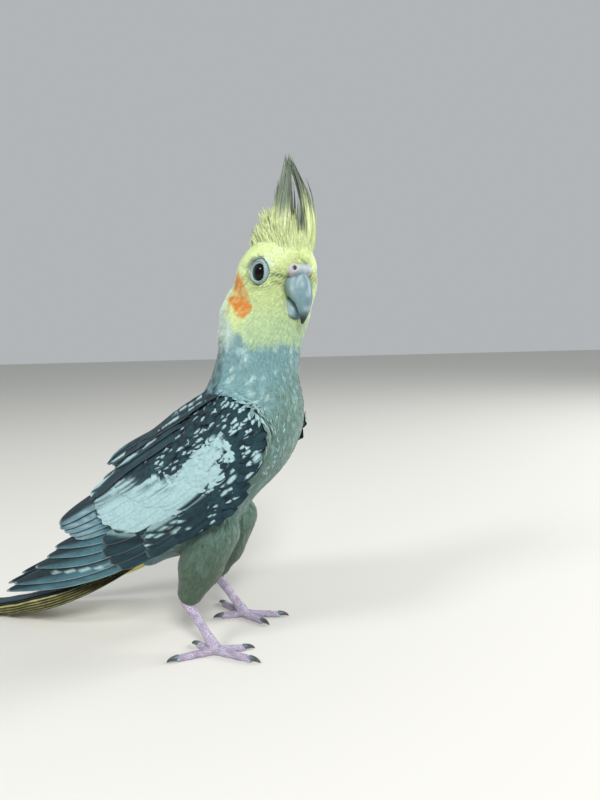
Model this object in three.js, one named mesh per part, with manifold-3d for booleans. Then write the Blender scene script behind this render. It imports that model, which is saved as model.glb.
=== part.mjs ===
// Cockatiel standing on the floor, body upright, head turned to its right and crest raised.
// Millimetres. +X is forward, +Y the bird's left, +Z up, and the floor is z = 0.
// The model is moved at the end, so that its origin is the middle of its box at floor level.
import * as THREE from 'three';
import { mergeVertices } from 'three/addons/utils/BufferGeometryUtils.js';
import Module from 'manifold-3d';

const wasm = await Module();
wasm.setup();

// Driving dimensions
const GAP = 0.35; // between two nodes that touch
const SHOULDER_HEIGHT = 92; // of the wing bends above the floor
const TRUNK_PITCH = 52; // degrees, of the trunk's long axis above level
const HEAD_YAW = -35; // degrees, head turned to the bird's right
const HEAD_PITCH = 2;
const HEAD_CENTRE = [-1, -1, SHOULDER_HEIGHT + 58.5];
const WING_LENGTH = 166; // bend of the folded wing to its tip
const WING_SLOPE = { right: 29, left: 28 }; // degrees below level
const TAIL_ROOT = [-58, 0, 43];
const TAIL_LENGTH = 160; // root to the tips of the middle pair
const TAIL_SLOPE = 38; // degrees below level at the root, levelling out on the floor
const FOOT_X = -29; // of the middle of each foot
const FOOT_Y = 17;
const EYE_PLACE = [6.6, 10.1, 4.6]; // of an eyeball's middle in the head's own frame, left side
const EYE_RADIUS = 4.3;
const EYE_OPENING = 3.1; // radius of the dark disc between the lids
const LID_RADIUS = 4.7; // of the bare ring round the eye
const SIDES = { left: 1, right: -1 };

// Vectors
const add = (p, q) => [p[0] + q[0], p[1] + q[1], p[2] + q[2]];
const sub = (p, q) => [p[0] - q[0], p[1] - q[1], p[2] - q[2]];
const scale = (p, k) => [p[0] * k, p[1] * k, p[2] * k];
const dot = (p, q) => p[0] * q[0] + p[1] * q[1] + p[2] * q[2];
const cross = (p, q) => [
  p[1] * q[2] - p[2] * q[1],
  p[2] * q[0] - p[0] * q[2],
  p[0] * q[1] - p[1] * q[0],
];
const unit = (p) => scale(p, 1 / Math.hypot(...p));
const mix = (p, q, t) => add(scale(p, 1 - t), scale(q, t));
const clamp = (x, low, high) => Math.min(high, Math.max(low, x));
const radians = THREE.MathUtils.degToRad;

// Value at x of a curve through [x, value] knots, eased between them
function curve(knots, x) {
  if (x <= knots[0][0]) return knots[0][1];
  for (let i = 1; i < knots.length; i++) {
    const [x1, y1] = knots[i];
    if (x > x1) continue;
    const [x0, y0] = knots[i - 1];
    const before = knots[Math.max(i - 2, 0)];
    const after = knots[Math.min(i + 1, knots.length - 1)];
    const m0 = ((y1 - before[1]) / (x1 - before[0])) * (x1 - x0);
    const m1 = ((after[1] - y0) / (after[0] - x0)) * (x1 - x0);
    const t = (x - x0) / (x1 - x0);
    const s = t * t * (3 - 2 * t);
    return y0 + (y1 - y0) * s + m0 * t * (1 - t) * (1 - t) - m1 * t * t * (1 - t);
  }
  return knots[knots.length - 1][1];
}

// Right-handed frame of forward, left and up, turned by yaw and then raised by pitch
function frameOf(yaw, pitch) {
  const [cy, sy] = [Math.cos(radians(yaw)), Math.sin(radians(yaw))];
  const [cp, sp] = [Math.cos(radians(pitch)), Math.sin(radians(pitch))];
  return [
    [cy * cp, sy * cp, sp],
    [-sy, cy, 0],
    [-cy * sp, -sy * sp, cp],
  ];
}
const TRUNK_FRAME = frameOf(0, TRUNK_PITCH);
const HEAD_FRAME = frameOf(HEAD_YAW, HEAD_PITCH);
const place = (frame, origin, [x, y, z]) =>
  add(origin, add(scale(frame[0], x), add(scale(frame[1], y), scale(frame[2], z))));
const onHead = (p) => place(HEAD_FRAME, HEAD_CENTRE, p);

// Rounded forms as distance functions
const ellipsoid = (centre, radii, frame) => (p) => {
  const d = sub(p, centre);
  const q = frame.map((axis, i) => dot(d, axis) / radii[i]);
  const k = Math.hypot(...q);
  const slope = Math.hypot(...q.map((value, i) => value / radii[i]));
  return (k * (k - 1)) / Math.max(slope, 1e-9);
};
const cone = (start, end, startRadius, endRadius) => (p) => {
  const axis = sub(end, start);
  const t = clamp(dot(sub(p, start), axis) / dot(axis, axis), 0, 1);
  return Math.hypot(...sub(p, add(start, scale(axis, t)))) - (startRadius + (endRadius - startRadius) * t);
};
const blend = (a, b, width) => {
  const h = Math.max(width - Math.abs(a - b), 0) / width;
  return Math.min(a, b) - (h * h * h * width) / 6;
};

// The feathered outline of trunk, neck and head, as [form, width of its blend with the forms before it]
const BODY_FORMS = [
  [ellipsoid([-18.5, 0, SHOULDER_HEIGHT - 2], [31, 24, 21.5], TRUNK_FRAME), 1],
  [ellipsoid([-38, 0, SHOULDER_HEIGHT - 25], [31, 23, 20.5], TRUNK_FRAME), 10],
  [cone([-24, 0, SHOULDER_HEIGHT - 2], [-66, 0, SHOULDER_HEIGHT - 23], 13.5, 10), 10],
  [cone([-50, 0, SHOULDER_HEIGHT - 40], [-66, 0, SHOULDER_HEIGHT - 54], 15, 8), 10],
  [cone([-14.5, 0, SHOULDER_HEIGHT + 10], [-7.5, 0, SHOULDER_HEIGHT + 40], 17.5, 16), 12],
  [ellipsoid(onHead([0.5, 0, 1.5]), [16, 16.6, 15.5], HEAD_FRAME), 6],
  [ellipsoid(onHead([3.5, 0, 8]), [12.5, 15.2, 9.5], HEAD_FRAME), 5],
  [ellipsoid(onHead([-2.5, 0, -10]), [14.5, 15, 12], HEAD_FRAME), 6],
  [ellipsoid(onHead([-9, 8.5, -7]), [9, 9, 9.5], HEAD_FRAME), 5],
  [ellipsoid(onHead([-9, -8.5, -7]), [9, 9, 9.5], HEAD_FRAME), 5],
];
function bodyDistance(p) {
  return BODY_FORMS.reduce((d, [form, width]) => blend(d, form(p), width), 1e3);
}

// Closed solid from rings of points, closed at each end by a fan to a middle point
function ringSolid(rings) {
  const count = rings[0].length;
  const points = rings.flat();
  const middle = (ring) => scale(ring.reduce(add), 1 / ring.length);
  const first = points.push(middle(rings[0])) - 1;
  const last = points.push(middle(rings[rings.length - 1])) - 1;
  const faces = [];
  for (let j = 0; j < count; j++) {
    const k = (j + 1) % count;
    faces.push([first, k, j]);
    for (let i = 0; i + 1 < rings.length; i++) {
      const [a, b] = [i * count, (i + 1) * count];
      faces.push([a + j, a + k, b + k], [a + j, b + k, b + j]);
    }
    const end = (rings.length - 1) * count;
    faces.push([last, end + j, end + k]);
  }
  return solid(points, faces);
}

// Closed solid between two sheets of points with the same rows and columns, split alike on both faces
function sheetSolid(outer, inner) {
  const [rows, columns] = [outer.length, outer[0].length];
  const points = [...outer.flat(), ...inner.flat()];
  const at = (sheet, i, j) => sheet * rows * columns + i * columns + j;
  const faces = [];
  const quad = (a, b, c, d) => faces.push([a, b, c], [a, c, d]);
  for (let i = 0; i + 1 < rows; i++) {
    for (let j = 0; j + 1 < columns; j++) {
      quad(at(0, i, j), at(0, i + 1, j), at(0, i + 1, j + 1), at(0, i, j + 1));
      faces.push([at(1, i, j), at(1, i + 1, j + 1), at(1, i + 1, j)]);
      faces.push([at(1, i, j), at(1, i, j + 1), at(1, i + 1, j + 1)]);
    }
    const end = columns - 1;
    quad(at(0, i, 0), at(1, i, 0), at(1, i + 1, 0), at(0, i + 1, 0));
    quad(at(0, i, end), at(0, i + 1, end), at(1, i + 1, end), at(1, i, end));
  }
  for (let j = 0; j + 1 < columns; j++) {
    const end = rows - 1;
    quad(at(0, 0, j), at(0, 0, j + 1), at(1, 0, j + 1), at(1, 0, j));
    quad(at(0, end, j), at(1, end, j), at(1, end, j + 1), at(0, end, j + 1));
  }
  return solid(points, faces);
}

// Manifold of points and faces, turned the right way out
function solid(points, faces) {
  let volume = 0;
  for (const [a, b, c] of faces) volume += dot(points[a], cross(points[b], points[c]));
  const outward = volume > 0 ? faces : faces.map(([a, b, c]) => [a, c, b]);
  const vertProperties = new Float32Array(points.flat());
  return new wasm.Manifold(
    new wasm.Mesh({ numProp: 3, vertProperties, triVerts: new Uint32Array(outward.flat()) }),
  );
}

// Manifold of a three.js geometry
function solidOf(geometry) {
  geometry.deleteAttribute('normal');
  geometry.deleteAttribute('uv');
  const { attributes, index } = mergeVertices(geometry, 1e-4);
  const points = [];
  for (let i = 0; i < attributes.position.count; i++) {
    points.push(new THREE.Vector3().fromBufferAttribute(attributes.position, i).toArray());
  }
  const faces = [];
  for (let i = 0; i < index.count; i += 3) faces.push([0, 1, 2].map((k) => index.array[i + k]));
  return solid(points, faces);
}

// The largest closed surface of a solid
function largest(body) {
  const size = (mesh) => {
    const { vertProperties: v, triVerts: t } = mesh;
    let volume = 0;
    for (let i = 0; i < t.length; i += 3) {
      const corner = (k) => [v[t[i + k] * 3], v[t[i + k] * 3 + 1], v[t[i + k] * 3 + 2]];
      volume += dot(corner(0), cross(corner(1), corner(2)));
    }
    return volume;
  };
  const pieces = body.decompose().map((piece) => ({ piece, volume: size(piece.getMesh()) }));
  pieces.sort((a, b) => b.volume - a.volume);
  return pieces[0].piece;
}

const model = new THREE.Group();

// Adds a node of one material
function node(name, body, color, roughness = 0.85) {
  const { vertProperties, triVerts } = largest(body).getMesh();
  const geometry = new THREE.BufferGeometry();
  geometry.setAttribute('position', new THREE.BufferAttribute(vertProperties, 3));
  geometry.setIndex(new THREE.BufferAttribute(triVerts, 1));
  geometry.computeVertexNormals();
  const material = new THREE.MeshStandardMaterial({ color, roughness, metalness: 0 });
  const mesh = new THREE.Mesh(geometry, material);
  mesh.name = name;
  model.add(mesh);
}

const LEMON = '#dfe07a';
const GREY = '#8d9a90';
const PALE_OLIVE = '#a3a88c';
const SLATE = '#56646a';
const TAIL_YELLOW = '#b9b264';
const BILL_BLUE = '#8fa3a8';
const CERE_PINK = '#b9a9ab';
const EYE_BLACK = '#0a0a0c';
const LID_BLUE = '#93aab0';
const FOOT_LILAC = '#b3a3b0';
const CLAW_DARK = '#4a4348';

// Line inside the body from rump to head, which its rings are set round
const SPINE = new THREE.CatmullRomCurve3(
  [
    [-60, 0, SHOULDER_HEIGHT - 49],
    [-50, 0, SHOULDER_HEIGHT - 39],
    [-32, 0, SHOULDER_HEIGHT - 22],
    [-19, 0, SHOULDER_HEIGHT - 2],
    [-13, 0, SHOULDER_HEIGHT + 20],
    [-8, 0, SHOULDER_HEIGHT + 42],
    HEAD_CENTRE,
  ].map((p) => new THREE.Vector3(...p)),
);
const SPINE_RINGS = 30;
const CAP_RINGS = 6; // over each end of the line
const RING_POINTS = 30;
const BODY_REACH = 48; // longest way from the line to the outline

// Surface of the body, moved out by grow
function bodySolid(grow) {
  const rings = [];
  const ring = (along, lift) => {
    const origin = SPINE.getPoint(along).toArray();
    const tangent = SPINE.getTangent(along).toArray();
    const front = unit(cross([0, 1, 0], tangent));
    const points = [];
    for (let j = 0; j < RING_POINTS; j++) {
      const angle = (j / RING_POINTS) * 2 * Math.PI;
      const round = add(scale(front, Math.cos(angle)), scale([0, 1, 0], Math.sin(angle)));
      const way = add(scale(round, Math.cos(lift)), scale(tangent, Math.sin(lift)));
      let [near, far] = [0, BODY_REACH];
      for (let step = 0; step < 24; step++) {
        const half = (near + far) / 2;
        if (bodyDistance(add(origin, scale(way, half))) < grow) near = half;
        else far = half;
      }
      points.push(add(origin, scale(way, near)));
    }
    rings.push(points);
  };
  const capLift = Math.PI / 2 / (CAP_RINGS + 0.4);
  for (let k = CAP_RINGS; k > 0; k--) ring(0, -k * capLift);
  for (let i = 0; i < SPINE_RINGS; i++) ring(i / (SPINE_RINGS - 1), 0);
  for (let k = 1; k <= CAP_RINGS; k++) ring(1, k * capLift);
  return ringSolid(rings);
}
const body = bodySolid(0);
const bodyCutter = bodySolid(GAP);

// Loft of oval rings: each station is a middle point, two half axes as vectors and a flatness
function ovalLoft(stations, count) {
  return ringSolid(
    stations.map(({ middle, wide, high }) => {
      const points = [];
      for (let j = 0; j < count; j++) {
        const angle = (j / count) * 2 * Math.PI;
        points.push(add(middle, add(scale(wide, Math.cos(angle)), scale(high, Math.sin(angle)))));
      }
      return points;
    }),
  );
}

// Round bar through points with a radius at each, rounded at its ends
function barSolid(points, radii, sides, grow = 0) {
  const stations = [];
  const path = new THREE.CatmullRomCurve3(points.map((p) => new THREE.Vector3(...p)));
  const tangentAt = (t) => path.getTangent(t).toArray();
  const across = (tangent) => unit(cross(tangent, Math.abs(tangent[2]) > 0.9 ? [1, 0, 0] : [0, 0, 1]));
  const station = (t, radius, shift) => {
    const tangent = tangentAt(t);
    const wide = across(tangent);
    const high = unit(cross(wide, tangent));
    const middle = add(path.getPoint(t).toArray(), scale(tangent, shift));
    stations.push({ middle, wide: scale(wide, radius), high: scale(high, radius) });
  };
  const count = radii.length;
  const [first, last] = [radii[0] + grow, radii[count - 1] + grow];
  station(0, first * 0.45, -first * 0.85);
  station(0, first * 0.85, -first * 0.5);
  for (let i = 0; i < count; i++) station(i / (count - 1), radii[i] + grow, 0);
  station(1, last * 0.85, last * 0.5);
  station(1, last * 0.45, last * 0.85);
  return ovalLoft(stations, sides);
}

// Bill in the head's frame: each row is a section's front edge, back edge and half width
const UPPER_BILL = [
  [[10, 4.5], [4, -3], 4.4],
  [[16.8, 4.2], [7.5, -3.9], 5],
  [[19.2, 1.2], [10.2, -5.2], 4.8],
  [[20.3, -3], [12.3, -6.7], 4.2],
  [[20.1, -7.2], [14, -8.4], 3.4],
  [[18.8, -11], [14.9, -10.9], 2.4],
  [[17, -13.9], [15, -13.4], 1.4],
  [[15.6, -15.7], [14.9, -15.4], 0.5],
];
const LOWER_BILL = [
  [[4, -4], [-1, -8], 4],
  [[8.6, -4.2], [3, -9.6], 4.6],
  [[11.9, -6.2], [5.6, -11.8], 4.6],
  [[13.6, -8.8], [8.2, -13.2], 4],
  [[14, -10.8], [10.8, -13.7], 3],
  [[13.6, -12.4], [12.2, -13.6], 1.7],
];
function billSolid(sections, grow) {
  const stations = sections.map(([[fx, fz], [bx, bz], halfWidth]) => {
    const half = [(fx - bx) / 2, 0, (fz - bz) / 2];
    const stretch = 1 + grow / Math.hypot(...half);
    const middle = onHead([(fx + bx) / 2, 0, (fz + bz) / 2]);
    const high = sub(onHead(scale(half, stretch)), HEAD_CENTRE);
    return { middle, wide: scale(HEAD_FRAME[1], halfWidth + grow), high };
  });
  return ovalLoft(stations, 16);
}
const NOSTRIL_PLACE = [17, 4, 5.4];
const NOSTRIL_RADIUS = 0.95;
const upperBill = billSolid(UPPER_BILL, 0);
const upperBillCutter = billSolid(UPPER_BILL, GAP);
const lowerBill = billSolid(LOWER_BILL, 0);
const lowerBillCutter = billSolid(LOWER_BILL, GAP);

// Cylinder from a point along a direction
function rodSolid(start, way, radius, length, sides) {
  const geometry = new THREE.CylinderGeometry(radius, radius, length, sides);
  const turn = new THREE.Quaternion().setFromUnitVectors(
    new THREE.Vector3(0, 1, 0),
    new THREE.Vector3(...unit(way)),
  );
  geometry.applyQuaternion(turn);
  geometry.translate(...add(start, scale(unit(way), length / 2)));
  return solidOf(geometry);
}

// Ball squashed to three radii along a frame's axes
function ballSolid(centre, radii, frame, sides = 14) {
  const geometry = new THREE.SphereGeometry(1, sides, Math.round(sides / 2) + 1);
  const axes = frame.map((axis, i) => new THREE.Vector3(...scale(axis, radii[i])));
  const turn = new THREE.Matrix4().makeBasis(...axes).setPosition(...centre);
  return solidOf(geometry.applyMatrix4(turn));
}

// Cere: a soft saddle over the root of the bill, swollen round a nostril on each side
function cereSolid() {
  const swelling = (side) => ballSolid(onHead([14.8, 3.1 * side, 5.2]), [3.3, 3.1, 3.1], HEAD_FRAME, 8);
  const saddle = ballSolid(onHead([13.6, 0, 5.4]), [5.2, 5.6, 3.6], HEAD_FRAME, 10);
  let cere = saddle.add(swelling(1)).add(swelling(-1)).subtract(upperBillCutter).subtract(bodyCutter);
  for (const side of Object.values(SIDES)) {
    const [x, y, z] = NOSTRIL_PLACE;
    const way = unit(add(HEAD_FRAME[0], scale(HEAD_FRAME[1], 0.7 * side)));
    const mouth = add(onHead([x, side * y, z]), scale(way, 2));
    cere = cere.subtract(rodSolid(mouth, scale(way, -1), NOSTRIL_RADIUS, 3, 6));
  }
  return cere;
}

// Eye and its lids, turned about the eye's own axis
function eyeSet(side) {
  const [x, y, z] = EYE_PLACE;
  const middle = onHead([x, side * y, z]);
  const way = sub(onHead([0.22, side, 0.06]), HEAD_CENTRE);
  const turn = new THREE.Quaternion().setFromUnitVectors(
    new THREE.Vector3(0, 1, 0),
    new THREE.Vector3(...unit(way)),
  );
  const move = (geometry) => {
    geometry.applyQuaternion(turn);
    geometry.translate(...middle);
    return solidOf(geometry);
  };
  const lidInner = EYE_RADIUS + GAP;
  const lidOuter = lidInner + 0.55;
  const profile = [];
  const steps = 3;
  const [open, rim] = [Math.asin(EYE_OPENING / lidInner), Math.asin(LID_RADIUS / lidOuter) + 0.12];
  for (let i = 0; i <= steps; i++) {
    const angle = open + ((rim - open) * i) / steps;
    profile.push(new THREE.Vector2(lidOuter * Math.sin(angle), lidOuter * Math.cos(angle)));
  }
  for (let i = steps; i >= 0; i--) {
    const angle = open + ((rim - open) * i) / steps;
    profile.push(new THREE.Vector2(lidInner * Math.sin(angle), lidInner * Math.cos(angle)));
  }
  profile.push(profile[0].clone());
  return {
    ball: move(new THREE.SphereGeometry(EYE_RADIUS, 14, 8)),
    lid: move(new THREE.LatheGeometry(profile, 14)),
    socket: move(new THREE.SphereGeometry(lidOuter + GAP, 14, 8)),
  };
}
const eyes = { left: eyeSet(SIDES.left), right: eyeSet(SIDES.right) };

// Trunk, neck and head are one form parted by two thin cuts
const NECK_CUT = { normal: unit([0.25, 0, 1]), point: [-13, 0, SHOULDER_HEIGHT + 17] };
const HEAD_CUT = { normal: unit([0.12, 0, 1]), point: [-8, 0, SHOULDER_HEIGHT + 39.5] };
const above = (form, cut) => form.trimByPlane(cut.normal, dot(cut.normal, cut.point) + GAP / 2);
const below = (form, cut) => form.trimByPlane(scale(cut.normal, -1), GAP / 2 - dot(cut.normal, cut.point));

let head = above(body, HEAD_CUT).subtract(upperBillCutter).subtract(lowerBillCutter);
for (const eye of Object.values(eyes)) head = head.subtract(eye.socket);
node('torso', below(body, NECK_CUT), PALE_OLIVE);
node('neck', below(above(body, NECK_CUT), HEAD_CUT), GREY);
node('head', head, LEMON);
for (const [side, { ball, lid }] of Object.entries(eyes)) {
  node(`eye_${side}`, ball, EYE_BLACK, 0.05);
  node(`eyelid_${side}`, lid, LID_BLUE, 0.6);
}
node('bill_upper', upperBill, BILL_BLUE, 0.4);
node('bill_lower', lowerBill.subtract(upperBillCutter), BILL_BLUE, 0.4);
node('cere', cereSolid(), CERE_PINK, 0.6);

// Folded wing: u runs from the bend to the tip, v from the lower edge to the back
const WING_HALF_WIDTH = [
  [-6, 21], [0, 26], [15, 28.2], [40, 29], [60, 28], [80, 26], [100, 22], [120, 16.5], [140, 11], [155, 7.4],
  [166, 5],
];
const WING_TOP_EDGE = [[-5, 6], [0, 17], [6, 24], [20, 27.5], [50, 27.5], [80, 26], [95, 22]];
const WING_LOWER_EDGE = [[-5, 2], [0, -4], [13, -9.5], [27, -16], [37, -18.5], [95, -18.5]];
const WING_WRAP = [[0, 0.42], [22, 0.72], [50, 1.02], [88, 1.2], [120, 1.2]]; // closing of the upper edge
const WRAP_SPAN = 28; // v at which a wrap of 1 meets the middle line
const LOWER_TUCK = 0.15; // share of the half width that the lower edge turns in
const NEAREST_MIDDLE = 1.1; // of a wing's face to the middle line
const CORE_DEPTH = [[-5, 3], [10, 8], [60, 8], [88, 6]];
const CORE_SINK = 0.5; // of the core's face below the wing's outline
const CORE_END = [[0, 86], [0.3, 82], [0.55, 76], [0.8, 82], [1, 70]]; // u where it ends, over its height

// Point of the wing's outer face
function wingFace(side, u, v) {
  const slope = radians(WING_SLOPE[side]);
  const wrap = v > 0 ? curve(WING_WRAP, u) * (v / WRAP_SPAN) ** 2 : LOWER_TUCK * (v / 20) ** 2;
  const reach = Math.max(curve(WING_HALF_WIDTH, u) * (1 - wrap), 0);
  return [
    -Math.cos(slope) * u - Math.sin(slope) * v,
    SIDES[side] * Math.hypot(reach, NEAREST_MIDDLE),
    SHOULDER_HEIGHT - Math.sin(slope) * u + Math.cos(slope) * v,
  ];
}

// The same, raised by height along its normal
function onWing(side, u, v, height) {
  const step = 0.5;
  const alongU = sub(wingFace(side, u + step, v), wingFace(side, u - step, v));
  const alongV = sub(wingFace(side, u, v + step), wingFace(side, u, v - step));
  const normal = scale(unit(cross(alongV, alongU)), -SIDES[side]);
  return add(wingFace(side, u, v), scale(normal, height));
}

// Flesh and small coverts of the wing, which the feathers grow from
function wingCore(side) {
  const rows = 8;
  const columns = 6;
  const [outer, inner] = [[], []];
  for (let i = 0; i <= rows; i++) {
    const [outerRow, innerRow] = [[], []];
    for (let j = 0; j <= columns; j++) {
      const t = j / columns;
      const u = -5 + (curve(CORE_END, t) + 5) * (i / rows);
      const [low, high] = [curve(WING_LOWER_EDGE, u), curve(WING_TOP_EDGE, u)];
      const v = low + (high - low) * t;
      const round = 1 - (2 * t - 1) ** 4;
      const depth = CORE_SINK + 0.5 + curve(CORE_DEPTH, u) * round;
      outerRow.push(onWing(side, u, v, -CORE_SINK));
      innerRow.push(onWing(side, u, v, -depth));
    }
    outer.push(outerRow);
    inner.push(innerRow);
  }
  return sheetSolid(outer, inner);
}

// Half width of a feather along its length, as a share of its greatest
const bladeShape = (t) => {
  const swell = 0.55 + 0.45 * Math.sin(Math.min(2 * t, 1) * (Math.PI / 2));
  return swell * Math.sqrt(1 - 0.97 * t ** 6);
};
const pointedShape = (t) => bladeShape(t) * (1 - 0.55 * clamp((t - 0.6) / 0.4, 0, 1) ** 1.5);

// Points spread from one to another, bulged at their middle
const between = (from, to, count, bulge = [0, 0]) =>
  Array.from({ length: count }, (_, i) => {
    const t = i / (count - 1);
    const hump = 4 * t * (1 - t);
    return [0, 1].map((k) => from[k] + (to[k] - from[k]) * t + bulge[k] * hump);
  });

// Feathers of a wing, each group from its lowest feather up: tips and roots as [u, v], half widths,
// and for the flight feathers the v of each at the line where they come out of the coverts
const VANE = 0.5; // thickness
const VANE_TIP = 0.4;
const STACK = 0.85; // from one vane to the one that lies over it
const FLIGHT_TILT = 0.22; // of each flight feather, its lower edge outward
const COVERT_TILT = 0.16;
const EXIT_U = 92;
const LOWEST_FLIGHT = -3.5; // height of the outermost primary
const COVERT_ROOT = -2.6; // height of every covert's root, inside the core
const PRIMARIES = {
  tips: between([166, -0.4], [120, 5.5], 5, [-2, 0]),
  roots: between([46, -13], [36, -4], 5),
  exits: [-13.2, -9.2, -5.2, -1.6, 1.6],
  halfWidth: 5.2,
  shape: pointedShape,
};
const SECONDARIES = {
  tips: between([101, 6.5], [111, 15.5], 4),
  roots: between([40, 0], [34, 12], 4),
  exits: [4.6, 7.8, 11, 14],
  halfWidth: 5.4,
  shape: bladeShape,
};
const TERTIALS = {
  tips: [[113.5, 15.5], [97, 20], [84, 24.5]],
  roots: [[40, 16], [38, 19], [36, 22.5]],
  exits: [16.6, 20.2, 24],
  halfWidth: 5,
  shape: bladeShape,
};
// In order: primary coverts, alula, greater coverts, median coverts and scapulars
const COVERTS = [
  {
    tips: between([94, -16], [90, -2], 3),
    roots: between([60, -15], [54, -4], 3),
    halfWidth: 5,
    height: 0,
  },
  {
    tips: between([72, -16.5], [50, -15.5], 2),
    roots: between([40, -13], [24, -10], 2),
    halfWidth: 3.6,
    height: 0.8,
  },
  {
    tips: between([62, -10.5], [97, 13], 5, [3, 1]),
    roots: between([32, -6], [64, 15], 5),
    halfWidth: 6,
    height: 0.6,
  },
  {
    tips: between([28, -3], [74, 16.5], 5, [2, 1]),
    roots: between([9, 0], [49, 19], 5),
    halfWidth: 6,
    height: 1.4,
  },
  {
    tips: between([54, 19.5], [83, 22.5], 3),
    roots: between([28, 21], [58, 24], 3),
    halfWidth: 5,
    height: 2.2,
  },
];

// A thin blade: rows along it, columns across it, with the same split on both faces
function vane(side, stations, columns) {
  const [outer, inner] = [[], []];
  stations.forEach(({ centre, halfWidth, height, thick, tilt }, i) => {
    const ahead = stations[Math.min(i + 1, stations.length - 1)].centre;
    const behind = stations[Math.max(i - 1, 0)].centre;
    const way = [ahead[0] - behind[0], ahead[1] - behind[1]];
    const length = Math.hypot(...way);
    const across = [-way[1] / length, way[0] / length];
    const [outerRow, innerRow] = [[], []];
    for (let j = 0; j < columns; j++) {
      const reach = halfWidth * ((2 * j) / (columns - 1) - 1);
      const [u, v] = [centre[0] + across[0] * reach, centre[1] + across[1] * reach];
      const level = height - tilt * reach;
      outerRow.push(onWing(side, u, v, level + thick / 2));
      innerRow.push(onWing(side, u, v, level - thick / 2));
    }
    outer.push(outerRow);
    inner.push(innerRow);
  });
  return sheetSolid(outer, inner);
}

// Flight feathers, stacked from the outermost primary up to the innermost tertial
function flightFeathers(side) {
  const feathers = [PRIMARIES, SECONDARIES, TERTIALS].flatMap(({ tips, roots, exits, ...group }) =>
    tips.map((tip, i) => ({ tip, root: roots[i], exit: exits[i], ...group })),
  );
  const centreAt = ({ tip, root, exit }, u) => {
    const knots = [root, [Math.min(EXIT_U, (root[0] + tip[0]) / 2 + 12), exit], tip];
    return curve(knots, u);
  };
  const heightAt = (index, u) => {
    let height = LOWEST_FLIGHT;
    for (let i = 1; i <= index; i++) {
      const apart = centreAt(feathers[i], u) - centreAt(feathers[i - 1], u);
      height += Math.max(0, STACK - FLIGHT_TILT * apart);
    }
    return height;
  };
  return feathers.map((feather, index) => {
    const marks = [0, 0.4, 0.7, 0.88, 1];
    const stations = marks.map((t) => {
      const u = feather.root[0] + (feather.tip[0] - feather.root[0]) * t;
      return {
        centre: [u, centreAt(feather, u)],
        halfWidth: feather.halfWidth * feather.shape(t),
        height: heightAt(index, u),
        thick: t < 1 ? VANE : VANE_TIP,
        tilt: FLIGHT_TILT,
      };
    });
    return vane(side, stations, 3);
  });
}

// Coverts and scapulars, whose roots sink into the core
function covertFeathers(side) {
  return COVERTS.flatMap(({ tips, roots, halfWidth, height }) =>
    tips.map((tip, i) => {
      const root = roots[i];
      const stations = [0, 0.3, 0.8, 1].map((t) => ({
        centre: [root[0] + (tip[0] - root[0]) * t, root[1] + (tip[1] - root[1]) * t],
        halfWidth: halfWidth * bladeShape(t),
        height: t > 0 ? height : COVERT_ROOT,
        thick: t < 1 ? VANE : VANE_TIP,
        tilt: COVERT_TILT,
      }));
      return vane(side, stations, 2);
    }),
  );
}
function wing(side) {
  const pieces = [wingCore(side), ...flightFeathers(side), ...covertFeathers(side)];
  const outward = [0, SIDES[side], 0];
  return wasm.Manifold.union(pieces).subtract(bodyCutter).trimByPlane(outward, GAP / 2);
}
for (const side of Object.keys(SIDES)) node(`wing_${side}`, wing(side), SLATE);

// Tail: a closed fan that bends to lie on the floor
const TAIL_BEND = 122; // length over which it levels out
const TAIL_PAIRS = 6;
const TAIL_PAIR_LENGTHS = [76, 90, 104, 118, 132, TAIL_LENGTH]; // from the outermost pair in
const TAIL_PAIR_SPREAD = [9.6, 8, 6.6, 5.1, 3.9, 0.5]; // of their middle lines from the tail's
const TAIL_HALF_WIDTH = { sides: 3.9, middle: 4.2 };
const TAIL_LAYER = 0.83; // from one pair up to the next
const TAIL_LOWEST = 0.2; // of the lowest vane's middle above the floor
const TAIL_SETTLING = [0.5, 13]; // a layer comes down over this stretch past the tips under it
const TAIL_SINK = 6; // of each vane into the core
const TAIL_SPREAD_LENGTH = 60; // over which the vanes part

// Point of the tail's middle line, at a length from its root and a height above the line
function tailPoint(t, y, height) {
  const slopeAt = (length) => radians(TAIL_SLOPE) * (1 - clamp(length / TAIL_BEND, 0, 1));
  const steps = 24;
  let [x, z] = [TAIL_ROOT[0], TAIL_ROOT[2]];
  for (let i = 0; i < steps; i++) {
    const angle = slopeAt((t * (i + 0.5)) / steps);
    x -= (Math.cos(angle) * t) / steps;
    z -= (Math.sin(angle) * t) / steps;
  }
  return [x - Math.sin(slopeAt(t)) * height, y, z + Math.cos(slopeAt(t)) * height];
}
const tailFloor = tailPoint(TAIL_BEND, 0, 0)[2];
const onTail = (t, y, height) => add(tailPoint(t, y, height), [0, 0, -tailFloor]);

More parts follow.
